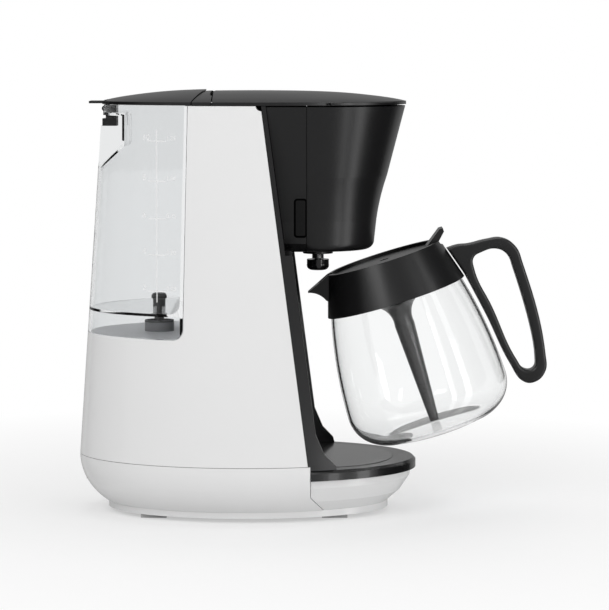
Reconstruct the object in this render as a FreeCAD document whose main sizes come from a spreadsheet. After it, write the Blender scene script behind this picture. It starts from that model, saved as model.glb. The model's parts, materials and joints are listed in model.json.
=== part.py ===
import FreeCAD, Part
import math
import os

import Sketcher
from FreeCAD import Placement, Rotation, Vector

# Drip coffee maker with a removable rear tank and a glass carafe tipped off its hot plate.
# Millimetres. +X is the front, +Y the far side, +Z up; the origin lies under the base centre.

SIZES = (
    # machine outline
    ("foot_height", 3.6, "rubber foot height"),
    ("plinth_top", 9.0, "top of the plinth"),
    ("seam_z", 48.5, "seam between base and body"),
    ("rim_z", 337.0, "rim under the lids"),
    ("base_a", 140.0, "half length at the seam"),
    ("base_b", 90.0, "half width at the seam"),
    ("top_a", 125.0, "half length at the rim"),
    ("top_b", 74.0, "half width at the rim"),
    ("top_shift", 5.5, "forward shift of the rim oval"),
    ("plinth_a", 116.3, "half length of the plinth"),
    ("plinth_b", 66.8, "half width of the plinth"),
    ("bowl_low_a", 117.5, "half length where bowl meets plinth"),
    ("bowl_low_b", 68.0, "half width where bowl meets plinth"),
    ("bowl_mid_z", 18.0, "lower bowl station"),
    ("bowl_mid_a", 128.0, "half length at the lower station"),
    ("bowl_mid_b", 78.0, "half width at the lower station"),
    ("bowl_high_z", 30.0, "upper bowl station"),
    ("bowl_high_a", 136.0, "half length at the upper station"),
    ("bowl_high_b", 86.0, "half width at the upper station"),
    ("wall", 2.4, "moulded wall"),
    ("joint_line", 0.4, "open line between fixed mouldings"),
    ("axis_x", 58.0, "brew, hot plate and carafe axis"),
    ("reach", 400.0, "cutter overshoot"),
    ("spare", 5.0, "cutter overlap"),
    ("bore_run", 40.0, "cutter depth"),
    # base
    ("crease_top_x", 51.5, "front edge of the side shell at the seam"),
    ("crease_low_x", 64.0, "front edge of the side shell at the plinth"),
    ("crease_low_z", 7.0, "height where that edge ends"),
    ("crease_mid_z", 22.0, "height where that edge starts to curl"),
    ("apron_step", 1.6, "front apron set back from the side shell"),
    ("foot_length", 21.0, "foot length"),
    ("foot_width", 13.0, "foot width"),
    ("foot_rear_x", -76.7, "rear feet"),
    ("foot_front_x", 71.6, "front feet"),
    ("foot_y", 36.0, "feet off the middle"),
    ("screw_radius", 3.2, "base screw head"),
    ("screw_height", 2.0, "base screw head height"),
    ("screw_shank", 1.5, "base screw shank radius"),
    ("screw_x", 46.0, "base screws from the middle"),
    ("screw_y", 40.0, "base screws off the middle"),
    ("gland_radius", 6.0, "cord gland"),
    ("gland_bore", 3.4, "cord gland bore"),
    ("gland_z", 27.0, "cord gland height"),
    ("gland_y", 26.0, "cord gland off the middle"),
    ("gland_length", 11.0, "cord gland length"),
    ("gland_sink", 3.0, "cord gland face inside the widest base"),
    ("gland_proud", 4.0, "cord gland outside that face"),
    # hot plate and tray
    ("tray_low", 36.8, "tray underside"),
    ("tray_top", 45.0, "tray top"),
    ("tray_inset", 0.5, "tray edge inside the base outline"),
    ("tray_round", 2.2, "rounding of the tray edge"),
    ("plate_radius", 62.0, "hot plate"),
    ("plate_thick", 1.6, "hot plate thickness"),
    ("plate_proud", 0.3, "hot plate above the tray"),
    ("plate_fit", 0.3, "hot plate in its opening"),
    ("plate_ledge", 6.0, "tray ledge under the hot plate"),
    ("heater_ring", 38.0, "flow heater ring radius"),
    ("heater_tube", 6.5, "flow heater section radius"),
    ("heater_angle", 300.0, "flow heater arc"),
    ("heater_start", 210.0, "start of the flow heater arc"),
    ("clamp_width", 16.0, "heater clamp bar"),
    ("clamp_thick", 2.0, "heater clamp thickness"),
    ("clamp_over", 8.0, "heater clamp past the ring"),
    ("sensor_radius", 9.0, "thermostat"),
    ("sensor_height", 6.0, "thermostat height"),
    ("fuse_radius", 2.4, "thermal fuse"),
    ("fuse_length", 16.0, "thermal fuse length"),
    ("fuse_off", 16.0, "thermal fuse off the axis"),
    # body panels
    ("panel_top_x", 12.0, "front edge of the side panel at the rim"),
    ("panel_low_x", 49.6, "front edge of the side panel at the seam"),
    ("panel_round", 4.0, "rounded top corner of the side panel"),
    ("tank_front_top", -46.6, "tank front at the rim"),
    ("tank_front_low", -50.6, "tank front at the shoulder"),
    ("shoulder_z", 149.8, "shoulder that carries the tank"),
    ("corner_round", 9.0, "rounded lower corner of the tank window"),
    ("tank_gap", 0.5, "gap round the tank"),
    ("liner_strip", 9.6, "black strip ahead of the side panel"),
    ("liner_edge", 4.0, "that strip beside the brew head"),
    ("grip_width", 9.5, "finger recess beside the seam"),
    ("lip_low", 321.8, "seam lip bottom"),
    ("lip_high", 334.0, "seam lip top"),
    ("lip_wall", 0.9, "seam lip wall"),
    ("lip_gap", 0.3, "seam lip inside the holder"),
    ("lip_reach", 5.0, "seam lip past the seam"),
    ("lip_root", 6.0, "seam lip behind the seam"),
    ("lip_bite", 0.5, "seam lip into the housing wall"),
    ("pad_half", 10.0, "half width of the middle foot"),
    ("liner_inset", 0.7, "liner inside the body outline"),
    ("liner_flare_z", 74.0, "start of the sweep into the tray"),
    ("liner_flare_mid", 58.0, "middle of the sweep into the tray"),
    ("liner_flare_x", 16.0, "forward sweep at the tray"),
    ("liner_flare_half", 4.8, "forward sweep at its middle"),
    ("liner_slack", 1.5, "liner off the shell wall"),
    ("bay_radius", 74.0, "carafe bay"),
    ("bay_top", 219.0, "carafe bay ceiling"),
    ("deck_z", 329.0, "deck under the front cover"),
    ("bay_drop", 1.0, "tank bay wall below the rim"),
    # brew head
    ("head_low", 218.3, "underside of the brew head"),
    ("head_flat", 39.5, "flat underside radius"),
    ("head_foot_r", 46.5, "lower edge radius"),
    ("head_foot_z", 225.4, "lower edge height"),
    ("head_waist_r", 48.4, "waist radius"),
    ("head_waist_z", 243.0, "waist height"),
    ("head_mid_r", 57.0, "middle radius"),
    ("head_mid_z", 279.0, "middle height"),
    ("head_top_r", 71.8, "top radius"),
    ("head_top_z", 336.2, "top of the brew head"),
    ("mouth_skim", 1.0, "cutter overlap at the head mouth"),
    ("head_bulge", 0.9, "hollow of the waist curve"),
    ("head_edge_bulge", 2.0, "rounding of the lower edge"),
    ("head_seam_x", 48.4, "seam between housing and filter holder"),
    ("head_seam", 0.4, "width of that seam"),
    ("grip_low", 231.0, "finger groove bottom"),
    ("grip_high", 265.0, "finger groove top"),
    ("grip_depth", 1.7, "finger groove depth"),
    ("basket_wall", 1.6, "filter basket wall"),
    ("basket_gap", 1.2, "filter basket inside the holder"),
    ("basket_top", 321.0, "filter basket rim"),
    ("basket_hole", 7.0, "filter basket outlet radius"),
    ("basket_foot", 2.0, "filter basket above the lower edge"),
    ("shower_radius", 27.0, "shower head"),
    ("shower_thick", 3.4, "shower head thickness"),
    ("shower_arm", 6.0, "shower arm half width"),
    ("arm_room", 1.0, "space beside the shower arm"),
    ("shower_hole", 1.3, "shower holes"),
    ("shower_ring", 17.0, "ring of shower holes"),
    # drip stop
    ("outlet_flange_r", 12.4, "drip stop flange"),
    ("outlet_flange_t", 4.0, "drip stop flange thickness"),
    ("stem_radius", 2.6, "plunger stem"),
    ("stem_fit", 0.06, "running fit of the plunger stem"),
    ("spring_wire", 0.7, "spring wire radius"),
    ("spring_radius", 4.5, "drip spring radius"),
    ("spring_inset", 0.4, "end turns inside the spring"),
    ("stay_radius", 0.42, "wire joining the spring turns"),
    ("knob_radius", 9.1, "plunger knob"),
    ("knob_top", 209.4, "knob top"),
    ("knob_low", 200.4, "knob tip"),
    ("knob_edge", 4.0, "knob rim thickness"),
    ("knob_bulge", 1.6, "knob dome"),
    ("plug_radius", 5.0, "plunger plug above the bore"),
    ("plug_height", 3.0, "plunger plug height"),
    ("plug_gap", 0.4, "plunger plug above its flange"),
    ("plug_room", 1.0, "space round the plunger plug"),
    ("knob_taper", 4.0, "knob rim outside its tip"),
    # top
    ("lid_gap", 0.4, "lids above the rim"),
    ("skirt_top", 340.0, "top of the lid skirt"),
    ("lid_crown", 9.8, "tank lid crown"),
    ("cover_crown", 8.5, "front cover crown"),
    ("lid_wall", 2.2, "lid wall"),
    ("lid_seam_x", -34.0, "lid seam on the middle plane"),
    ("lid_seam_r", 240.0, "plan radius of the lid seam"),
    ("lid_seam", 0.9, "lid seam width"),
    ("cover_rear_x", -26.6, "rear edge of the front cover"),
    ("cover_seam", 1.0, "seam behind the front cover"),
    ("cover_pin_x", -27.1, "front cover hinge"),
    ("cover_pin_z", 346.6, "front cover hinge height"),
    ("cover_pin_r", 0.7, "front cover pin"),
    ("cover_knuckle", 1.4, "front cover knuckle"),
    ("cover_knuckle_y", 8.0, "front cover knuckles from the middle"),
    ("cover_knuckle_w", 7.0, "front cover knuckle width"),
    ("pin_fit", 0.05, "running fit of hinge pins"),
    ("side_fit", 0.4, "side play of knuckles"),
    ("ear_root", 3.0, "knuckle web into the cover"),
    ("swing_room", 0.8, "space round the cover knuckles"),
    # tank
    ("tank_wall", 2.2, "tank wall"),
    ("tank_floor", 170.5, "tank floor"),
    ("tank_lift_gap", 0.4, "tank above its shoulder"),
    ("grab_x", -100.4, "finger recess depth"),
    ("grab_top", 328.6, "finger recess top"),
    ("grab_mid", 306.0, "finger recess start of the slope"),
    ("grab_low", 284.0, "finger recess bottom"),
    ("grab_web", 4.0, "half width of the grip web"),
    ("grab_drop", 12.0, "fall of the recess behind the tank"),
    ("grab_run", 24.0, "run of the recess slope"),
    ("bracket_low", 319.6, "hinge bracket bottom"),
    ("bracket_front", -107.0, "hinge bracket front"),
    ("bracket_half", 9.0, "hinge bracket half width"),
    ("bracket_step", 0.5, "bracket block off the pin"),
    ("bracket_drop", 0.6, "hinge bracket below the rim"),
    ("bracket_foot", 3.0, "bracket foot below the recess top"),
    ("lid_pin_x", -116.6, "tank lid hinge"),
    ("lid_pin_z", 334.0, "tank lid hinge height"),
    ("lid_pin_r", 1.1, "tank lid pin"),
    ("lid_knuckle", 2.3, "tank lid knuckle"),
    ("lug_width", 4.0, "tank lid lug"),
    ("lug_bite", 1.0, "lug into the tank lid"),
    ("lug_room", 1.2, "space beside the lugs"),
    ("notch_bite", 1.0, "overlap of the lug notch"),
    ("tab_length", 10.0, "tank lid thumb tab"),
    ("tab_half", 13.0, "tank lid thumb tab half width"),
    ("tab_thick", 1.9, "tank lid thumb tab thickness"),
    ("tab_root", 3.0, "thumb tab into the tank lid"),
    ("valve_x", -73.5, "tank valve"),
    ("valve_cage_r", 5.2, "valve cage"),
    ("valve_cage_top", 176.4, "valve cage top"),
    ("valve_bore", 2.3, "valve cage bore"),
    ("valve_cap_r", 6.4, "valve cap"),
    ("valve_cap_t", 4.6, "valve cap height"),
    ("valve_cap_gap", 0.4, "valve cap above its cage"),
    ("valve_stem_low", 160.0, "valve stem end"),
    ("valve_head_r", 4.0, "valve stem foot"),
    ("valve_head_t", 1.6, "valve stem foot thickness"),
    ("valve_cap_edge", 2.0, "valve cap edge"),
    ("valve_cap_bow", 0.8, "rounding of the valve cap"),
    ("valve_cap_in", 3.0, "valve cap top inside its edge"),
    ("valve_fit", 0.06, "running fit of the valve stem"),
    ("seat_radius", 12.0, "tank seat cup"),
    ("seat_wall", 2.0, "tank seat wall"),
    ("seat_height", 7.6, "tank seat height above the shelf"),
    ("seat_seal", 1.4, "tank seat seal height"),
    ("seat_pin_r", 1.6, "valve opener pin"),
    ("post_gap", 0.6, "opener pin below the valve"),
    ("rib_half", 0.8, "half width of the seat rib"),
    ("rib_height", 4.0, "seat rib height"),
    ("rib_inset", 1.0, "seat rib inside the cup"),
    # water line
    ("hose_radius", 5.5, "hose"),
    ("hose_bore", 3.6, "hose bore"),
    ("riser_x", -30.0, "riser tube"),
    ("riser_y", 28.0, "riser tube off the middle"),
    ("hose_z", 24.0, "hose run in the base"),
    ("check_length", 18.0, "check valve length"),
    ("check_radius", 7.5, "check valve radius"),
    ("check_off", 25.0, "check valve from the tank valve"),
    ("heater_lead", 12.0, "hose end outside the heater ring"),
    ("riser_drop", 12.0, "riser bend below the shower arm"),
    # controls
    ("button_radius", 8.0, "power button"),
    ("button_z", 25.0, "power button height"),
    ("button_face", 132.6, "power button face"),
    ("button_depth", 9.0, "power button depth"),
    ("button_fit", 0.35, "power button in its bezel"),
    ("bezel_wall", 2.0, "power button bezel"),
    ("switch_gap", 2.2, "travel space behind the button"),
    ("switch_length", 14.0, "switch block length"),
    ("switch_half", 6.5, "switch block half width"),
    # carafe
    ("tilt", 17.5, "carafe tilt in the photograph"),
    ("seat_gap", 1.0, "carafe above the plate when seated"),
    ("out_x", 157.6, "tipped carafe base centre"),
    ("out_z", 67.5, "tipped carafe base centre height"),
    ("glass_wall", 2.6, "glass wall"),
    ("glass_ring", 38.0, "glass foot ring"),
    ("glass_ring_w", 4.0, "glass foot ring width"),
    ("glass_base_r", 50.0, "glass base edge"),
    ("glass_base_h", 2.6, "glass base edge height"),
    ("glass_max_r", 68.4, "widest glass radius"),
    ("glass_max_h", 28.0, "height of the widest glass"),
    ("glass_neck_r", 56.4, "glass radius at the collar"),
    ("glass_neck_h", 116.0, "height of the collar bottom"),
    ("glass_mouth_r", 48.0, "glass mouth radius"),
    ("glass_mouth_h", 141.0, "glass mouth height"),
    ("glass_corner", 4.6, "bulge of the lower glass corner"),
    ("glass_side", 2.6, "bulge of the glass side"),
    ("glass_kick", 2.4, "hollow under the glass"),
    ("collar_wall", 2.2, "collar wall"),
    ("collar_fit", 0.5, "collar round the glass"),
    ("collar_top_h", 150.4, "collar top height"),
    ("collar_flat", 4.0, "collar ledge thickness under the lid"),
    ("collar_lip", 3.6416, "collar top outside the lid opening"),
    ("spout_reach", 68.4, "spout tip from the axis"),
    ("spout_h", 141.5, "spout tip height"),
    ("spout_low_h", 131.0, "underside of the spout"),
    ("spout_low_r", 56.0, "spout underside from the axis"),
    ("spout_bow", 2.0, "hollow of the spout underside"),
    ("spout_bite", 4.0, "spout into the collar"),
    ("spout_wall", 3.0, "spout wall"),
    ("spout_channel", 4.5, "depth of the spout channel"),
    ("spout_tip_half", 6.0, "spout half width at its tip"),
    ("lid_radius", 44.4, "carafe lid"),
    ("lid_edge", 0.5, "carafe lid inside the collar"),
    ("lid_thick", 2.4, "carafe lid thickness"),
    ("lid_rise", 0.5, "carafe lid dome"),
    ("lid_bow", 0.3, "bow of the carafe lid"),
    ("lid_hole", 4.0, "drip hole"),
    ("lever_out", 53.6, "carafe thumb tab tip"),
    ("lever_up", 159.4, "carafe thumb tab height"),
    ("lever_half", 11.0, "carafe thumb tab half width"),
    ("lever_thick", 3.0, "carafe thumb tab thickness"),
    ("lever_in", 3.0, "lid pin inside the lid edge"),
    ("lever_drop", 2.0, "lid pin below the collar top"),
    ("lever_room_in", 6.0, "collar notch behind the lid pin"),
    ("lever_room_low", 2.6, "collar notch below the lid pin"),
    ("lever_root", 5.0, "thumb tab behind the lid pin"),
    ("lever_lift", 0.4, "thumb tab above the collar ledge"),
    ("lever_heel", 1.6, "thumb tab ahead of the lid pin"),
    ("lever_crest", 1.0, "thumb tab above the lid"),
    ("carafe_pin_r", 1.4, "carafe lid pin"),
    ("carafe_pin_len", 26.0, "carafe lid pin length"),
    ("tube_top_r", 19.0, "mixing funnel mouth"),
    ("tube_throat_r", 8.4, "mixing funnel throat"),
    ("tube_throat_h", 92.0, "mixing funnel throat height"),
    ("tube_end_r", 3.8, "mixing tube end"),
    ("tube_end_h", 6.0, "mixing tube end height"),
    ("tube_wall", 1.4, "mixing tube wall"),
    ("tube_bulge", 4.0, "flare of the mixing funnel"),
    ("tube_flare", 20.0, "height of the funnel flare"),
    ("handle_half", 8.0, "handle half thickness"),
    ("handle_gap", 0.3, "handle off the collar"),
    ("handle_low_x", 75.0, "inner foot of the handle from the axis"),
    ("handle_low_h", 25.5, "inner foot of the handle, height"),
    ("handle_heel_x", 84.6, "heel of the handle from the axis"),
    ("handle_heel_h", 13.4, "heel of the handle, height"),
    ("handle_back_low_x", 102.9, "lower back of the handle from the axis"),
    ("handle_back_low_h", 24.3, "lower back of the handle, height"),
    ("handle_back_top_x", 108.1, "upper back of the handle from the axis"),
    ("handle_back_top_h", 123.9, "upper back of the handle, height"),
    ("handle_shoulder_x", 96.0, "shoulder of the handle from the axis"),
    ("handle_shoulder_h", 138.5, "shoulder of the handle, height"),
    ("handle_bridge_x", 70.0, "bridge of the handle from the axis"),
    ("handle_bridge_h", 138.5, "bridge of the handle, height"),
    ("handle_root_x", 61.0, "root of the handle from the axis"),
    ("handle_root_h", 141.5, "root of the handle, height"),
    ("loop_root_x", 67.2, "finger loop at the root from the axis"),
    ("loop_root_h", 124.0, "finger loop at the root, height"),
    ("loop_low_x", 80.6, "finger loop foot from the axis"),
    ("loop_low_h", 27.5, "finger loop foot, height"),
    ("loop_heel_x", 84.8, "finger loop heel from the axis"),
    ("loop_heel_h", 22.7, "finger loop heel, height"),
    ("loop_back_low_x", 94.4, "finger loop lower back from the axis"),
    ("loop_back_low_h", 26.7, "finger loop lower back, height"),
    ("loop_back_top_x", 99.2, "finger loop upper back from the axis"),
    ("loop_back_top_h", 122.0, "finger loop upper back, height"),
    ("loop_shoulder_x", 94.4, "finger loop shoulder from the axis"),
    ("loop_shoulder_h", 129.6, "finger loop shoulder, height"),
    ("loop_bridge_x", 75.0, "finger loop under the bridge from the axis"),
    ("loop_bridge_h", 130.0, "finger loop under the bridge, height"),
    ("heel_bow", 2.0, "rounding of the handle heel"),
    ("back_bow", 2.6, "rounding of the handle shoulder"),
    ("loop_bow", 1.6, "rounding of the finger loop"),
    ("handle_clear", 0.8, "handle off the glass"),
    ("handle_screw_r", 2.6, "handle screw"),
    ("handle_screw_h", 129.0, "handle screw height"),
    ("handle_screw_len", 14.0, "handle screw length"),
    ("handle_screw_sink", 6.0, "handle screw head past the collar"),
)

# A quarter round rises by this share of its radius over its chord.
QUARTER_BOW = 0.29
SHOWER_HOLES = 8
SPRING_TURNS = 6
# Share of the rim oval and share of the rise, from the skirt of a lid to its crown.
CROWN = ((1, 0), (0.93, 0.22), (0.82, 0.46), (0.65, 0.73), (0.45, 0.91), (0.2, 0.99), (0.05, 1))

doc = FreeCAD.newDocument("DripCoffeeMaker")
sheet = doc.addObject("Spreadsheet::Sheet", "Sizes")
NODES = {}


class Size:
    """A size with its number and the cell expression behind it."""

    def __init__(self, number, text):
        self.number = float(number)
        self.text = text

    def __float__(self):
        return self.number

    def __add__(self, other):
        other = as_size(other)
        return Size(self.number + other.number, f"({self.text} + {other.text})")

    def __sub__(self, other):
        other = as_size(other)
        return Size(self.number - other.number, f"({self.text} - {other.text})")

    def __mul__(self, other):
        other = as_size(other)
        return Size(self.number * other.number, f"({self.text} * {other.text})")

    def __truediv__(self, other):
        other = as_size(other)
        return Size(self.number / other.number, f"({self.text} / {other.text})")

    def __radd__(self, other):
        return as_size(other) + self

    def __rsub__(self, other):
        return as_size(other) - self

    def __rmul__(self, other):
        return as_size(other) * self

    def __neg__(self):
        return Size(-self.number, f"(0 - {self.text})")


def as_size(value):
    return value if isinstance(value, Size) else Size(value, f"({float(value)})")


def cos(angle):
    return Size(math.cos(math.radians(angle.number)), f"cos({angle.text})")


def sin(angle):
    return Size(math.sin(math.radians(angle.number)), f"sin({angle.text})")


def root(value):
    return Size(math.sqrt(value.number), f"sqrt({value.text})")


class Sizes:
    """Every named size of the sheet as an attribute."""


def fill_sheet():
    s = Sizes()
    for row, (name, number, note) in enumerate(SIZES, start=1):
        sheet.set(f"A{row}", name)
        sheet.set(f"B{row}", str(number))
        sheet.setAlias(f"B{row}", name)
        sheet.set(f"C{row}", note)
        setattr(s, name, Size(number, f"Sizes.{name}"))
    doc.recompute()
    return s


s = fill_sheet()


def bind(thing, prop, value):
    value = as_size(value)
    setattr(thing, prop, value.number)
    thing.setExpression(prop, value.text)
    return thing


def place(thing, x=0, y=0, z=0, axis=(0, 0, 1), angle=0):
    at = Vector(float(x), float(y), float(z))
    thing.Placement = Placement(at, Rotation(Vector(*axis), float(angle)))
    for key, value in (("x", x), ("y", y), ("z", z)):
        if isinstance(value, Size):
            thing.setExpression("Placement.Base." + key, value.text)
    return thing


def box(name, x, y, z):
    """A box between two values on each axis."""
    thing = doc.addObject("Part::Box", name)
    bind(thing, "Length", x[1] - as_size(x[0]))
    bind(thing, "Width", y[1] - as_size(y[0]))
    bind(thing, "Height", z[1] - as_size(z[0]))
    return place(thing, x[0], y[0], z[0])


TURNS = {"x": ((0, 1, 0), 90), "y": ((1, 0, 0), -90), "z": ((0, 0, 1), 0)}


def rod(name, at, radius, length, along="z"):
    thing = doc.addObject("Part::Cylinder", name)
    bind(thing, "Radius", radius)
    bind(thing, "Height", length)
    axis, angle = TURNS[along]
    return place(thing, at[0], at[1], at[2], axis, angle)


def ball(name, at, radius):
    thing = doc.addObject("Part::Sphere", name)
    bind(thing, "Radius", radius)
    return place(thing, at[0], at[1], at[2])


def fuse(name, *parts):
    thing = doc.addObject("Part::MultiFuse", name)
    thing.Shapes = list(parts)
    return thing


def common(name, *parts):
    thing = doc.addObject("Part::MultiCommon", name)
    thing.Shapes = list(parts)
    return thing


def cut(name, base, *tools):
    thing = doc.addObject("Part::Cut", name)
    thing.Base = base
    thing.Tool = tools[0] if len(tools) == 1 else fuse(name + "_tools", *tools)
    return thing


def oval(name, z, x, a, b):
    thing = doc.addObject("Part::Ellipse", name)
    bind(thing, "MajorRadius", a)
    bind(thing, "MinorRadius", b)
    return place(thing, x, 0, z)


def loft(name, stations, ruled=True):
    """A solid through ovals, each given as height, middle, half length and half width."""
    thing = doc.addObject("Part::Loft", name)
    thing.Sections = [
        oval(f"{name}_oval{n}", *station) for n, station in enumerate(stations)
    ]
    thing.Solid = True
    thing.Ruled = ruled
    return thing


def tower_at(z, inset=0):
    """The body oval at a height, drawn in by an inset."""
    share = (z - s.seam_z) / (s.rim_z - s.seam_z)
    return (
        z,
        s.top_shift * share,
        s.base_a + (s.top_a - s.base_a) * share - inset,
        s.base_b + (s.top_b - s.base_b) * share - inset,
    )


def tower(name, low, high, inset=0):
    return loft(name, (tower_at(low, inset), tower_at(high, inset)))


def bowl(name, inset=0, ruled=False):
    """The rounded lower base, drawn in by an inset."""
    return loft(
        name,
        (
            (s.plinth_top, 0, s.bowl_low_a - inset, s.bowl_low_b - inset),
            (s.bowl_mid_z, 0, s.bowl_mid_a - inset, s.bowl_mid_b - inset),
            (s.bowl_high_z, 0, s.bowl_high_a - inset, s.bowl_high_b - inset),
            (s.seam_z, 0, s.base_a - inset, s.base_b - inset),
        ),
        ruled=ruled,
    )


def outline(sketch, points):
    """Closes a profile; a third value on a point bows the side that follows it to its left."""
    ends = []
    count = len(points)
    for n, point in enumerate(points):
        there = points[(n + 1) % count]
        a = Vector(float(point[0]), float(point[1]), 0)
        b = Vector(float(there[0]), float(there[1]), 0)
        if len(point) == 2:
            side = sketch.addGeometry(Part.LineSegment(a, b))
        else:
            left = Vector(a.y - b.y, b.x - a.x, 0).normalize()
            middle = (a + b) * 0.5 + left * float(point[2])
            side = sketch.addGeometry(Part.Arc(a, middle, b))
        first = 1 if sketch.getPoint(side, 1).distanceToPoint(a) < 1e-6 else 2
        ends.append((side, first, 3 - first))
    for n, (side, first, last) in enumerate(ends):
        after, start = ends[(n + 1) % count][:2]
        sketch.addConstraint(Sketcher.Constraint("Coincident", side, last, after, start))
        for kind, axis, value in (("X", -2, points[n][0]), ("Y", -1, points[n][1])):
            if float(value) == 0:
                sketch.addConstraint(Sketcher.Constraint("PointOnObject", side, first, axis))
                continue
            value = as_size(value)
            rule = Sketcher.Constraint("Distance" + kind, -1, 1, side, first, value.number)
            sketch.setExpression(f"Constraints[{sketch.addConstraint(rule)}]", value.text)
        if len(points[n]) == 3:
            here, there, bow = points[n], points[(n + 1) % count], points[n][2]
            wide = as_size(there[0]) - here[0]
            high = as_size(there[1]) - here[1]
            bow = bow if float(bow) > 0 else -bow
            radius = (wide * wide + high * high) / (8 * bow) + bow / 2
            rule = Sketcher.Constraint("Radius", side, radius.number)
            sketch.setExpression(f"Constraints[{sketch.addConstraint(rule)}]", radius.text)


def new_body(name, points):
    body = doc.addObject("PartDesign::Body", name)
    sketch = body.newObject("Sketcher::SketchObject", name + "_profile")
    plane = [p for p in body.Origin.OriginFeatures if p.Role == "XZ_Plane"][0]
    sketch.AttachmentSupport = [(plane, "")]
    sketch.MapMode = "FlatFace"
    outline(sketch, points)
    return body, sketch


def pad(name, points, half, y=0):
    """A side profile given its thickness across the machine."""
    body, sketch = new_body(name, points)
    feature = body.newObject("PartDesign::Pad", name + "_pad")
    feature.Profile = sketch
    feature.SideType = "Symmetric"
    bind(feature, "Length", 2 * as_size(half))
    return place(body, 0, y, 0)


def turned(name, points, x=0, z=0):
    """A profile turned about an upright axis."""
    body, sketch = new_body(name, points)
    feature = body.newObject("PartDesign::Revolution", name + "_turn")
    feature.Profile = sketch
    feature.ReferenceAxis = (sketch, ["V_Axis"])
    feature.Angle = 360
    return place(body, x, 0, z)


def ahead_of(name, x):
    """Everything ahead of an upright plane."""
    return box(name, (x, s.reach), (-s.reach, s.reach), (-s.reach, 2 * s.reach))


def behind(name, x):
    """Everything behind an upright plane."""
    return box(name, (-s.reach, x), (-s.reach, s.reach), (-s.reach, 2 * s.reach))


def publish(name, thing):
    thing.Label = name
    NODES[name] = thing
    return thing


def carried(thing, x=0, z=0):
    """Tips a carafe piece, drawn seated, to where the photograph shows it."""
    seat_z = s.tray_top + s.plate_proud + s.seat_gap
    away_x = s.out_x - s.axis_x
    away_z = s.out_z - seat_z
    lever = cos(s.tilt / 2) / sin(s.tilt / 2) / 2
    pole_x = (s.out_x + s.axis_x) / 2 - away_z * lever
    pole_z = (s.out_z + seat_z) / 2 + away_x * lever
    dx = as_size(x) - pole_x
    dz = as_size(z) - pole_z
    at_x = pole_x + dx * cos(s.tilt) - dz * sin(s.tilt)
    at_z = pole_z + dx * sin(s.tilt) + dz * cos(s.tilt)
    place(thing, at_x, 0, at_z, (0, -1, 0), s.tilt)
    thing.setExpression("Placement.Rotation.Angle", s.tilt.text)


def apron_form(name, step):
    """The front of the base as a solid, drawn in by a step."""
    share = (s.tray_low - s.bowl_high_z) / (s.seam_z - s.bowl_high_z)
    top_a = s.bowl_high_a + (s.base_a - s.bowl_high_a) * share - step
    top_b = s.bowl_high_b + (s.base_b - s.bowl_high_b) * share - step
    solid = loft(
        name,
        (
            (s.plinth_top, 0, s.bowl_low_a - step, s.bowl_low_b - step),
            (s.bowl_mid_z, 0, s.bowl_mid_a - step, s.bowl_mid_b - step),
            (s.bowl_high_z, 0, s.bowl_high_a - step, s.bowl_high_b - step),
            (s.tray_low, 0, top_a, top_b),
        ),
    )
    return place(solid, 0, 0, 0, (0, 0, 1), 180)


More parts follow.
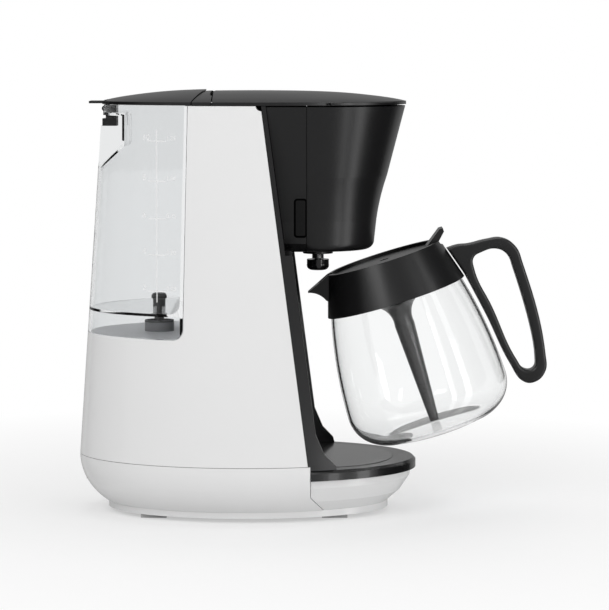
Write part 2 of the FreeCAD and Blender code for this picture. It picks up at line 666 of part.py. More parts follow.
def build_base():
    crease = (
        (s.crease_top_x, s.seam_z + s.spare),
        (s.crease_top_x, s.crease_mid_z),
        (s.crease_low_x, s.crease_low_z),
        (s.reach, s.crease_low_z),
        (s.reach, s.seam_z + s.spare),
    )
    front = pad("crease_front", crease, s.reach)
    gland_x = s.gland_sink - s.bowl_high_a
    gland_at = (gland_x - 2 * s.spare, s.gland_y, s.gland_z)
    gland_hole = rod("gland_hole", gland_at, s.gland_radius, s.bore_run, "x")
    shell = cut("bowl_wall", bowl("bowl_outer"), bowl("bowl_inner", s.wall))
    publish("base_shell", cut("base_side", shell, front, gland_hole))
    step = s.apron_step
    solid = apron_form("apron_solid", step)
    inner_a, inner_b = s.bowl_low_a - step - s.wall, s.bowl_low_b - step - s.wall
    core = loft(
        "apron_core",
        (
            (s.plinth_top - s.spare, 0, inner_a, inner_b),
            (s.tray_low + s.spare, 0, inner_a, inner_b),
        ),
    )
    place(core, 0, 0, 0, (0, 0, 1), 180)
    apron = cut("apron_wall", solid, core)
    apron = cut("apron_rear", apron, behind("apron_back", s.crease_top_x + s.joint_line))
    window_at = (s.crease_low_x, 0, s.button_z)
    window = rod("button_window", window_at, s.button_radius + s.bezel_wall, s.reach, "x")
    lean = pad(
        "apron_lean",
        (
            (s.crease_top_x - s.spare, s.crease_mid_z),
            (s.crease_top_x - s.spare, s.crease_low_z),
            (s.crease_low_x + s.joint_line, s.crease_low_z),
            (s.crease_top_x + s.joint_line, s.crease_mid_z),
        ),
        s.reach,
    )
    publish("base_front", cut("apron_cut", cut("apron_leant", apron, lean), window))
    pan = loft(
        "pan",
        ((s.foot_height, 0, s.plinth_a, s.plinth_b), (s.plinth_top, 0, s.plinth_a, s.plinth_b)),
    )
    inner_a, inner_b = s.plinth_a - s.wall, s.plinth_b - s.wall
    pan_in = loft(
        "pan_in",
        ((s.foot_height + s.wall, 0, inner_a, inner_b), (s.plinth_top + s.spare, 0, inner_a, inner_b)),
    )
    feet, screws, holes = [], [], []
    half_x, half_y = s.foot_length / 2, s.foot_width / 2
    corners = ((-1, 1), (-1, -1), (1, 1), (1, -1))
    for n, (end, side) in enumerate(corners):
        x = s.foot_front_x if end > 0 else s.foot_rear_x
        y = side * s.foot_y
        feet.append(
            box(f"foot{n}", (x - half_x, x + half_x), (y - half_y, y + half_y), (0, s.foot_height))
        )
        at = (end * s.screw_x, side * s.screw_y, s.foot_height)
        holes.append(rod(f"screw_hole{n}", at, s.screw_shank, s.wall))
        screws.append(rod(f"screw_shank{n}", at, s.screw_shank, s.wall))
        head_at = (at[0], at[1], s.foot_height + s.wall)
        screws.append(rod(f"screw_head{n}", head_at, s.screw_radius, s.screw_height))
    publish("base_plate", cut("base_pan", pan, pan_in, *holes))
    middle = (-s.pad_half, s.pad_half)
    feet.append(box("foot_middle", middle, middle, (0, s.foot_height)))
    publish("rubber_feet", fuse("feet", *feet))
    publish("base_screws", fuse("screws", *screws))
    body_at = (gland_x - s.gland_proud, s.gland_y, s.gland_z)
    gland = rod("gland_body", body_at, s.gland_radius, s.gland_length, "x")
    bore = rod("gland_bore_cut", gland_at, s.gland_bore, s.bore_run, "x")
    publish("cord_gland", cut("gland", gland, bore))


def build_plate():
    low, top = s.tray_low, s.tray_top
    a, b = s.base_a - s.tray_inset, s.base_b - s.tray_inset
    edge = s.tray_round
    slab = loft("tray_slab", ((low, 0, a, b), (top - edge, 0, a, b), (top, 0, a - edge, b - edge)))
    front = common("tray_front", slab, ahead_of("tray_ahead", s.crease_top_x + s.joint_line))
    rear = rod("tray_rear", (s.axis_x, 0, low), s.bay_radius - s.joint_line, top - low)
    plate_low = top + s.plate_proud - s.plate_thick
    pocket = rod("tray_pocket", (s.axis_x, 0, plate_low), s.plate_radius + s.plate_fit, s.bore_run)
    hole = rod("tray_hole", (s.axis_x, 0, low - s.spare), s.plate_radius - s.plate_ledge, s.bore_run)
    publish("tray", cut("tray_cut", fuse("tray_whole", front, rear), pocket, hole))
    publish("hot_plate", rod("plate", (s.axis_x, 0, plate_low), s.plate_radius, s.plate_thick))
    ring = doc.addObject("Part::Torus", "heater_ring_body")
    bind(ring, "Radius1", s.heater_ring)
    bind(ring, "Radius2", s.heater_tube)
    bind(ring, "Angle3", s.heater_angle)
    ring_z = plate_low - s.heater_tube
    publish("flow_heater", place(ring, s.axis_x, 0, ring_z, (0, 0, 1), s.heater_start))
    clamp_top = ring_z - s.heater_tube
    half = s.clamp_width / 2
    bar = (s.axis_x - s.heater_ring - s.clamp_over, s.axis_x + s.heater_ring + s.clamp_over)
    publish("heater_clamp", box("clamp", bar, (-half, half), (clamp_top - s.clamp_thick, clamp_top)))
    publish("thermostat", rod("sensor", (s.axis_x, 0, clamp_top), s.sensor_radius, s.sensor_height))
    fuse_at = (s.axis_x + s.fuse_off, -s.fuse_length / 2, clamp_top + s.fuse_radius)
    publish("thermal_fuse", rod("fuse_link", fuse_at, s.fuse_radius, s.fuse_length, "y"))


def panel_x(z):
    share = (s.rim_z - z) / (s.rim_z - s.seam_z)
    return s.panel_top_x + (s.panel_low_x - s.panel_top_x) * share


def tank_outline(gap, low):
    """The tank seen from the side, grown by a gap."""
    corner = s.corner_round
    front_low, front_top = s.tank_front_low + gap, s.tank_front_top + gap
    return (
        (-s.reach, low),
        (front_low - corner, low, -QUARTER_BOW * corner),
        (front_low, low + corner),
        (front_top, s.rim_z),
        (front_top, s.rim_z + 2 * s.spare),
        (-s.reach, s.rim_z + 2 * s.spare),
    )


def head_profile(inset, low):
    radii = (s.head_flat, s.head_foot_r, s.head_waist_r, s.head_mid_r, s.head_top_r)
    r = [radius - inset for radius in radii]
    return (
        (0, low),
        (r[0], low, -s.head_edge_bulge),
        (r[1], s.head_foot_z),
        (r[2], s.head_waist_z, s.head_bulge),
        (r[3], s.head_mid_z),
        (r[4], s.head_top_z),
        (0, s.head_top_z),
    )


def cheeks(name, inset, edge):
    """The straight sides of the brew head, from the column to the seam."""
    radii = (s.head_flat, s.head_foot_r, s.head_waist_r, s.head_mid_r, s.head_top_r)
    half = [radius - inset for radius in radii]
    rise = [s.head_low + inset, s.head_foot_z, s.head_waist_z, s.head_mid_z, s.head_top_z]
    ends = list(zip(half, rise))
    slabs = []
    for n in range(len(ends) - 1):
        (low_half, low), (high_half, high) = ends[n], ends[n + 1]
        wedge = doc.addObject("Part::Wedge", f"{name}_slab{n}")
        bind(wedge, "Ymin", low)
        bind(wedge, "Ymax", high)
        bind(wedge, "Xmin", -low_half)
        bind(wedge, "Xmax", low_half)
        bind(wedge, "X2min", -high_half)
        bind(wedge, "X2max", high_half)
        for prop in ("Zmax", "Z2max"):
            bind(wedge, prop, s.head_seam_x)
        wedge.Zmin = 0
        wedge.Z2min = 0
        turn = FreeCAD.Rotation(Vector(0, 1, 0), Vector(0, 0, 1), Vector(1, 0, 0), "ZXY")
        wedge.Placement = FreeCAD.Placement(Vector(0, 0, 0), turn)
        slabs.append(wedge)
    column = pad(
        name + "_column",
        (
            (-s.reach, s.head_low - s.bore_run),
            (panel_x(s.head_low - s.bore_run) + edge, s.head_low - s.bore_run),
            (panel_x(s.rim_z + s.bore_run) + edge, s.rim_z + s.bore_run),
            (-s.reach, s.rim_z + s.bore_run),
        ),
        s.reach,
    )
    return cut(name, fuse(name + "_stack", *slabs), column)


def build_body():
    low = s.seam_z + s.joint_line
    core = tower("body_inner", low - s.spare, s.rim_z + s.spare, s.wall)
    shell = cut("body_wall", tower("body_outer", low, s.rim_z), core)
    window = pad("tank_window", tank_outline(s.tank_gap, s.shoulder_z), s.reach)
    opening = pad(
        "body_opening",
        (
            (panel_x(s.seam_z - s.spare), s.seam_z - s.spare),
            (s.reach, s.seam_z - s.spare),
            (s.reach, s.rim_z + s.spare),
            (s.panel_top_x - s.panel_round, s.rim_z + s.spare),
            (s.panel_top_x - s.panel_round, s.rim_z, -QUARTER_BOW * s.panel_round),
            (panel_x(s.rim_z - s.panel_round), s.rim_z - s.panel_round),
        ),
        s.reach,
    )
    publish("body_shell", cut("body", shell, window, opening))
    inset = s.wall + s.joint_line
    shelf_z = s.shoulder_z - s.wall
    shelf = common(
        "shelf",
        tower("shelf_oval", shelf_z, s.shoulder_z, inset),
        behind("shelf_rear", s.tank_front_low + s.wall),
    )
    back = pad(
        "bay_back",
        (
            (s.tank_front_low + s.tank_gap, shelf_z),
            (s.tank_front_low + s.tank_gap + s.wall, shelf_z),
            (s.tank_front_top + s.tank_gap + s.wall, s.rim_z - s.bay_drop),
            (s.tank_front_top + s.tank_gap, s.rim_z - s.bay_drop),
        ),
        s.reach,
    )
    back = common("bay_back_fit", back, tower("bay_oval", shelf_z, s.rim_z - s.bay_drop, inset))
    drain = rod("shelf_hole", (s.valve_x, 0, shelf_z - s.spare), s.hose_radius, s.bore_run)
    publish("tank_bay", cut("bay", fuse("bay_whole", shelf, back), drain))
    foot = s.tray_top
    strip = pad(
        "strip",
        (
            (panel_x(foot) + s.joint_line, foot),
            (panel_x(foot) + s.liner_strip + s.liner_flare_x, foot),
            (panel_x(s.liner_flare_mid) + s.liner_strip + s.liner_flare_half, s.liner_flare_mid),
            (panel_x(s.liner_flare_z) + s.liner_strip, s.liner_flare_z),
            (panel_x(s.head_low) + s.liner_strip, s.head_low),
            (panel_x(s.head_low) + s.liner_edge, s.head_low),
            (s.panel_top_x + s.liner_edge, s.rim_z),
            (s.panel_top_x + s.joint_line, s.rim_z),
        ),
        s.reach,
    )
    joint = s.seam_z + s.joint_line
    high = common("strip_high", strip, tower("strip_oval", joint, s.rim_z, s.liner_inset))
    low = common("strip_low", strip, tower("strip_foot", foot, joint, inset + s.liner_slack))
    strip = fuse("strip_fit", high, low)
    ceiling = s.bay_top + s.wall
    bay = rod("bay_space", (s.axis_x, 0, foot - s.spare), s.bay_radius, s.bay_top - foot + s.spare)
    tube = rod("bay_tube", (s.axis_x, 0, foot), s.bay_radius + s.wall, ceiling - foot)
    keep = pad(
        "bay_keep",
        (
            (-s.reach, foot),
            (panel_x(foot) + s.liner_strip, foot),
            (panel_x(ceiling) + s.liner_strip, ceiling),
            (-s.reach, ceiling),
        ),
        s.reach,
    )
    room = tower("bay_room", foot, ceiling, inset + s.liner_slack)
    alcove = common("alcove", tube, keep, room)
    cheek_space = cheeks("cheek_space", -s.joint_line, s.liner_edge)
    head_space = turned("head_space", head_profile(-s.joint_line, s.head_low - s.joint_line), s.axis_x)
    mouth_at = (s.axis_x, 0, s.head_top_z - s.mouth_skim)
    above = rod("head_above", mouth_at, s.head_top_r + s.joint_line, s.bore_run)
    whole = fuse("liner_whole", strip, alcove)
    publish("column_liner", cut("liner", whole, bay, head_space, cheek_space, above))
    deck = common(
        "deck_slab",
        tower("deck_oval", s.deck_z, s.deck_z + s.wall, inset),
        ahead_of("deck_front", s.tank_front_top + s.tank_gap + s.wall),
        behind("deck_rear", panel_x(s.deck_z)),
    )
    publish("head_deck", cut("deck", deck, head_space))


def build_head():
    seam = s.head_seam_x
    floor = s.head_low + s.wall
    mouth_at = (s.axis_x, 0, s.head_top_z - s.mouth_skim)
    outlet_at = (s.axis_x, 0, s.head_low - s.spare)

    def hollows(name):
        return (
            turned(name + "_inner", head_profile(s.wall, floor), s.axis_x),
            rod(name + "_mouth", mouth_at, s.head_top_r - s.wall, s.spare),
            rod(name + "_outlet", outlet_at, s.plug_radius + s.plug_room, s.bore_run),
        )

    solid = turned("head_outer", head_profile(0, s.head_low), s.axis_x)
    shell = cut("head_wall", solid, *hollows("head"))
    side = cheeks("cheek", as_size(0), s.liner_edge + s.joint_line)
    side = cut("cheek_wall", side, *hollows("cheek"))
    across = (-s.reach, s.reach)
    grip_x = (seam - s.grip_width, seam + s.spare)
    recess = common(
        "grip_space",
        cheeks("grip_out", -s.joint_line, s.liner_edge),
        box("grip_window", grip_x, across, (s.grip_low, s.grip_high)),
    )
    recess = cut("grip", recess, cheeks("grip_floor", s.grip_depth, s.liner_edge))
    lip_z = (s.lip_low, s.lip_high)
    lip_in = turned("lip_in", head_profile(s.wall + s.lip_gap + s.lip_wall, floor), s.axis_x)
    band = box("lip_band", (seam - s.lip_root, seam + s.lip_reach), across, lip_z)
    ahead = turned("lip_out", head_profile(s.wall + s.lip_gap, floor), s.axis_x)
    root_band = box("lip_root_band", (seam - s.lip_root, seam), across, lip_z)
    rear = turned("lip_rear", head_profile(s.wall - s.lip_bite, floor), s.axis_x)
    lip = fuse(
        "lip",
        cut("lip_front", common("lip_front_band", ahead, band), lip_in),
        cut("lip_root", common("lip_rear_band", rear, root_band), lip_in),
    )
    arm_low = s.deck_z - s.shower_thick
    slot_half = s.shower_arm + s.arm_room
    slot_z = (arm_low - s.arm_room, s.rim_z + s.spare)
    slot = box("arm_slot", (-s.reach, seam), (-slot_half, slot_half), slot_z)
    back = common("head_back", shell, behind("head_rear", seam))
    publish("head_housing", cut("housing", fuse("housing_whole", back, side, lip), recess, slot))
    front = ahead_of("head_front", seam + s.head_seam)
    publish("filter_holder", common("holder", shell, front))
    gap = s.wall + s.basket_gap
    thick = s.basket_wall
    lean = (s.head_top_r - s.head_mid_r) / (s.head_top_z - s.head_mid_z)
    rim_r = s.head_mid_r + lean * (s.basket_top - s.head_mid_z) - gap
    rim_in = rim_r - thick
    publish(
        "filter_basket",
        turned(
            "basket",
            (
                (s.basket_hole, floor),
                (s.head_flat - gap, floor),
                (s.head_foot_r - gap, s.head_foot_z + s.basket_foot),
                (s.head_waist_r - gap, s.head_waist_z),
                (s.head_mid_r - gap, s.head_mid_z),
                (rim_r, s.basket_top),
                (rim_in, s.basket_top),
                (s.head_mid_r - gap - thick, s.head_mid_z),
                (s.head_waist_r - gap - thick, s.head_waist_z),
                (s.head_foot_r - gap - thick, s.head_foot_z + s.basket_foot),
                (s.head_flat - gap - thick, floor + thick),
                (s.basket_hole, floor + thick),
            ),
            s.axis_x,
        ),
    )
    disc = rod("shower_disc", (s.axis_x, 0, arm_low), s.shower_radius, s.shower_thick)
    arm_x = (s.riser_x - s.hose_radius - s.arm_room, s.axis_x)
    arm = box("arm", arm_x, (-s.shower_arm, s.shower_arm), (arm_low, s.deck_z))
    holes = []
    for n in range(SHOWER_HOLES):
        angle = math.tau * n / SHOWER_HOLES
        x = s.axis_x + s.shower_ring * math.cos(angle)
        y = s.shower_ring * math.sin(angle)
        holes.append(rod(f"shower_hole{n}", (x, y, arm_low - s.spare), s.shower_hole, s.bore_run))
    publish("shower_head", cut("shower", fuse("shower_body", disc, arm), *holes))
    low = s.head_low - s.outlet_flange_t
    flange = rod("outlet", (s.axis_x, 0, low), s.outlet_flange_r, s.outlet_flange_t)
    bore = rod("outlet_bore_cut", (s.axis_x, 0, low - s.spare), s.stem_radius + s.stem_fit, s.bore_run)
    publish("drip_flange", cut("outlet_ring", flange, bore))
    top = s.knob_top
    plug = s.head_low + s.plug_gap
    knob = turned(
        "plunger_profile",
        (
            (0, s.knob_low),
            (s.knob_radius - s.knob_taper, s.knob_low, -s.knob_bulge),
            (s.knob_radius, top - s.knob_edge),
            (s.knob_radius, top),
            (s.stem_radius, top),
            (s.stem_radius, plug),
            (s.plug_radius, plug),
            (s.plug_radius, plug + s.plug_height),
            (0, plug + s.plug_height),
        ),
        s.axis_x,
    )
    publish("drip_plunger", knob)
    pitch = (low - top - 2 * s.spring_inset) / (SPRING_TURNS - 1)
    rings = []
    for n in range(SPRING_TURNS):
        ring = doc.addObject("Part::Torus", f"coil{n}")
        bind(ring, "Radius1", s.spring_radius)
        bind(ring, "Radius2", s.spring_wire)
        rings.append(place(ring, s.axis_x, 0, top + s.spring_inset + pitch * n))
    stay = rod("coil_stay", (s.axis_x, s.spring_radius, top), s.stay_radius, low - top)
    turns = fuse("coil_turns", stay, *rings)
    span = box("coil_span", (0, s.reach), (-s.reach, s.reach), (top, low))
    publish("drip_spring", common("coil", turns, span))


def crown(name, height, inset=0):
    """The domed top over the rim oval."""
    a, b = s.top_a - inset, s.top_b - inset
    foot, skirt = s.rim_z + s.lid_gap - inset, s.skirt_top - inset
    band = loft(name + "_band", ((foot, s.top_shift, a, b), (skirt, s.top_shift, a, b)))
    dome = loft(
        name + "_dome",
        [(skirt + height * up, s.top_shift, a * part, b * part) for part, up in CROWN],
        ruled=False,
    )
    return fuse(name, band, dome)


def build_top():
    seam_at = (s.lid_seam_x - s.lid_seam_r, 0, 0)
    rear = rod("lid_side", seam_at, s.lid_seam_r, 2 * s.reach)
    front = rod("cover_side", seam_at, s.lid_seam_r + s.lid_seam, 2 * s.reach)
    lid = cut("lid_shell", crown("lid_outer", s.lid_crown), crown("lid_inner", s.lid_crown, s.lid_wall))
    lid = common("lid_rear", lid, rear)
    axis = (s.lid_pin_x, 0, s.lid_pin_z)
    inner = s.bracket_half + s.side_fit
    reach = inner + s.lug_width
    lugs = []
    for n, y in enumerate((inner, -reach)):
        lugs.append(rod(f"lug{n}", (axis[0], y, axis[2]), s.lid_knuckle, s.lug_width, "y"))
        web_x = (axis[0], axis[0] + s.lid_knuckle)
        web_z = (axis[2], s.skirt_top + s.lug_bite)
        lugs.append(box(f"lug_web{n}", web_x, (y, y + s.lug_width), web_z))
    tab_x = s.top_shift - s.top_a
    tab_z = s.skirt_top - s.tab_thick
    tab_span = (tab_x - s.tab_length, tab_x + s.tab_root)
    tab = box("tab", tab_span, (-s.tab_half, s.tab_half), (tab_z, s.skirt_top))
    bore_half = reach + s.spare
    hole = rod("lid_pin_hole", (axis[0], -bore_half, axis[2]), s.lid_pin_r, 2 * bore_half, "y")
    publish("tank_lid", cut("lid", fuse("lid_whole", lid, tab, *lugs), hole))
    pin = rod("lid_pin", (axis[0], -reach, axis[2]), s.lid_pin_r, 2 * reach, "y")
    publish("tank_lid_pin", pin)
    outer = crown("cover_outer", s.cover_crown)
    inner_crown = crown("cover_inner", s.cover_crown, s.lid_wall)
    body = cut("cover_ahead", outer, behind("cover_plane", s.cover_rear_x))
    body = cut("cover_front", body, inner_crown)
    bridge_x = s.cover_rear_x - s.cover_seam
    bridge = cut("bridge_solid", outer, ahead_of("bridge_plane", bridge_x), front)
    bridge = cut("bridge_rear", bridge, inner_crown)
    x, z = s.cover_pin_x, s.cover_pin_z
    knuckle, wide = s.cover_knuckle, s.cover_knuckle_w
    near, far = s.cover_knuckle_y, s.cover_knuckle_y + wide
    bore_half = far + s.spare
    bore = rod("cover_bore", (x, -bore_half, z), s.cover_pin_r + s.pin_fit, 2 * bore_half, "y")
    tight = rod("cover_tight", (x, -bore_half, z), s.cover_pin_r, 2 * bore_half, "y")
    tall = (0, 2 * s.reach)
    ears, clear = [], []
    for n, y in enumerate((near, -far)):
        ears.append(rod(f"ear{n}", (x, y, z), knuckle, wide, "y"))
        web_x = (x, s.cover_rear_x + s.ear_root)
        ears.append(box(f"ear_web{n}", web_x, (y, y + wide), (z - knuckle, z)))
        room_y = (y - s.side_fit, y + wide + s.side_fit)
        clear.append(box(f"ear_room{n}", (x - s.ear_root, s.reach), room_y, tall))
    swing = rod("cover_swing", (x, -s.reach, z), knuckle + s.swing_room, 2 * s.reach, "y")
    notch = box("cover_notch", (-s.reach, x + knuckle + s.side_fit), (-near, near), tall)
    body = cut("cover_notched", body, notch)
    publish("top_cover", cut("cover", fuse("cover_whole", body, *ears), bore))
    middle = near - s.side_fit
    barrel = rod("bridge_knuckle", (x, -middle, z), knuckle, 2 * middle, "y")
    web = box("bridge_web", (x - s.ear_root, x), (-middle, middle), (z - knuckle, z))
    bridge = cut("bridge_open", bridge, swing, *clear)
    publish("top_bridge", cut("bridge", fuse("bridge_whole", bridge, barrel, web), tight))
    publish("cover_pin", rod("cover_pin_rod", (x, -far, z), s.cover_pin_r, 2 * far, "y"))


def build_tank():
    low = s.shoulder_z + s.tank_lift_gap
    side = pad("tank_side", tank_outline(0, low), s.reach)
    solid = common("tank_solid", tower("tank_oval", low, s.rim_z), side)
    wall = s.tank_wall

    def grab(name, grow, first, last):
        points = (
            (s.grab_x + grow, s.grab_top + grow),
            (-s.reach, s.grab_top + grow),
            (-s.reach, s.grab_low - grow - s.grab_drop),
            (s.grab_x - s.grab_run + grow, s.grab_low - grow),
            (s.grab_x + grow, s.grab_mid - grow),
        )
        return pad(name, points, (last - first) / 2, (first + last) / 2)

    far = s.reach / 2
    outside = [grab("grab_near", 0, s.grab_web, far), grab("grab_far", 0, -far, -s.grab_web)]
    inside = pad("tank_inside", tank_outline(-wall, s.tank_floor), s.reach)
    hollow = common("tank_hollow", tower("tank_in", s.tank_floor, s.rim_z + s.spare, wall), inside)
    hollow = cut("tank_room", hollow, grab("grab_wall", wall, -far, far))
    skirt = tower("skirt_in", low - s.spare, s.tank_floor - wall, wall)
    skirt = common("skirt_room", skirt, behind("skirt_rear", s.tank_front_low - wall))
    notch_x = (-s.reach, s.bracket_front)
    half = s.bracket_half
    lug_room = half + s.lug_width + s.lug_room
    notch = box("bracket_notch", notch_x, (-half, half), (s.bracket_low, 2 * s.reach))
    lug_x = (-s.reach, s.bracket_front - s.notch_bite)
    lug_z = (s.grab_top - s.notch_bite, 2 * s.reach)
    top_notch = box("lug_notch", lug_x, (-lug_room, lug_room), lug_z)
    port_at = (s.valve_x, 0, s.tank_floor - wall - s.spare)
    port = rod("valve_port", port_at, s.valve_cage_r, s.bore_run)
    publish("tank_shell", cut("tank", solid, *outside, hollow, skirt, notch, top_notch, port))
    pin = s.lid_knuckle
    back = s.lid_pin_x - pin
    across = (-half, half)
    block_x = (s.lid_pin_x + s.bracket_step, s.bracket_front)
    block = box("bracket_block", block_x, across, (s.bracket_low, s.rim_z - s.bracket_drop))
    barrel = rod("bracket_barrel", (s.lid_pin_x, -half, s.lid_pin_z), pin, 2 * half, "y")
    foot_z = (s.bracket_low, s.grab_top - s.bracket_foot)
    foot = box("bracket_foot", (back, s.bracket_front), across, foot_z)
    bore_half = half + s.spare
    bore_at = (s.lid_pin_x, -bore_half, s.lid_pin_z)
    hole = rod("bracket_hole", bore_at, s.lid_pin_r + s.pin_fit, 2 * bore_half, "y")
    publish("lid_bracket", cut("bracket", fuse("bracket_whole", block, barrel, foot), hole))
    floor = s.tank_floor
    cage = rod("cage", (s.valve_x, 0, floor - wall), s.valve_cage_r, s.valve_cage_top - floor + wall)
    bore_at = (s.valve_x, 0, floor - s.bore_run)
    bore = rod("cage_bore", bore_at, s.valve_bore + s.valve_fit, 2 * s.bore_run)
    publish("valve_cage", cut("cage_ring", cage, bore))
    cap_z = s.valve_cage_top + s.valve_cap_gap
    poppet = turned(
        "poppet",
        (
            (0, s.valve_stem_low),
            (s.valve_head_r, s.valve_stem_low),
            (s.valve_head_r, s.valve_stem_low + s.valve_head_t),
            (s.valve_bore, s.valve_stem_low + s.valve_head_t),
            (s.valve_bore, cap_z),
            (s.valve_cap_r, cap_z),
            (s.valve_cap_r, cap_z + s.valve_cap_edge, -s.valve_cap_bow),
            (s.valve_cap_r - s.valve_cap_in, cap_z + s.valve_cap_t),
            (0, cap_z + s.valve_cap_t),
        ),
        s.valve_x,
    )
    publish("tank_valve", poppet)


def hose(name, points):
    """A pipe along straight runs parallel to the axes."""

    def run(tag, radius):
        parts = []
        for n in range(len(points) - 1):
            a, b = points[n], points[n + 1]
            along = [k for k in range(3) if abs(float(b[k]) - float(a[k])) > 1e-9][0]
            low, high = (a, b) if float(a[along]) < float(b[along]) else (b, a)
            parts.append(rod(f"{tag}{n}", low, radius, as_size(high[along]) - low[along], "xyz"[along]))
            if n:
                parts.append(ball(f"{tag}_bend{n}", a, radius))
        return fuse(tag, *parts) if len(parts) > 1 else parts[0]

    publish(name, cut(name + "_pipe", run(name + "_out", s.hose_radius), run(name + "_in", s.hose_bore)))


def build_water():
    base = s.shoulder_z
    x = s.valve_x
    room = s.seat_radius - s.seat_wall
    cup_out = rod("cup_out", (x, 0, base), s.seat_radius, s.seat_height)
    cup_in = rod("cup_in", (x, 0, base + s.wall), room, s.bore_run)
    outlet = rod("cup_hole", (x, 0, base - s.spare), s.hose_bore, s.bore_run)
    post_low = base + s.seat_wall
    post = rod("cup_post", (x, 0, post_low), s.seat_pin_r, s.valve_stem_low - s.post_gap - post_low)
    rib_reach = s.seat_radius - s.rib_inset
    rib_y = (-s.rib_half, s.rib_half)
    rib = box("cup_rib", (x - rib_reach, x + rib_reach), rib_y, (base, base + s.rib_height))
    publish("tank_seat", fuse("seat", cut("cup", cup_out, cup_in, outlet), rib, post))
    ring = rod("seal_out", (x, 0, base + s.seat_height), s.seat_radius, s.seat_seal)
    publish("seat_seal", cut("seal", ring, rod("seal_in", (x, 0, base), room, s.bore_run)))
    check_x = x + s.check_off
    hose("inlet_hose", ((x, 0, base), (x, 0, s.hose_z), (check_x, 0, s.hose_z)))
    check = rod("check_body", (check_x, 0, s.hose_z), s.check_radius, s.check_length, "x")
    bore_at = (check_x - s.spare, 0, s.hose_z)
    publish("check_valve", cut("check", check, rod("check_bore", bore_at, s.hose_bore, s.bore_run, "x")))
    heater_x = s.axis_x - s.heater_ring - s.heater_lead
    hose("feed_hose", ((check_x + s.check_length, 0, s.hose_z), (heater_x, 0, s.hose_z)))
    top = s.deck_z - s.shower_thick
    hose(
        "riser_tube",
        (
            (heater_x, s.riser_y, s.hose_z),
            (s.riser_x, s.riser_y, s.hose_z),
            (s.riser_x, s.riser_y, top - s.riser_drop),
            (s.riser_x, 0, top - s.riser_drop),
            (s.riser_x, 0, top),
        ),
    )


def build_controls():
    r = s.button_radius
    face = s.button_face
    back = face - s.button_depth
    knob = rod("button", (back, 0, s.button_z), r, s.button_depth + s.spare, "x")
    form = apron_form("button_form", s.apron_step + s.joint_line)
    publish("power_button", common("button_flush", knob, form))
    front = back - s.switch_gap
    ring = rod("bezel_out", (front, 0, s.button_z), r + s.bezel_wall, face - front + s.spare, "x")
    ring = common("bezel_flush", ring, apron_form("bezel_form", s.apron_step))
    opening = rod("bezel_in", (0, 0, s.button_z), r + s.button_fit, s.reach, "x")
    publish("button_bezel", cut("bezel", ring, opening))
    half = s.switch_half
    high = (s.button_z - half, s.button_z + half)
    publish("switch_block", box("switch", (front - s.switch_length, front), (-half, half), high))


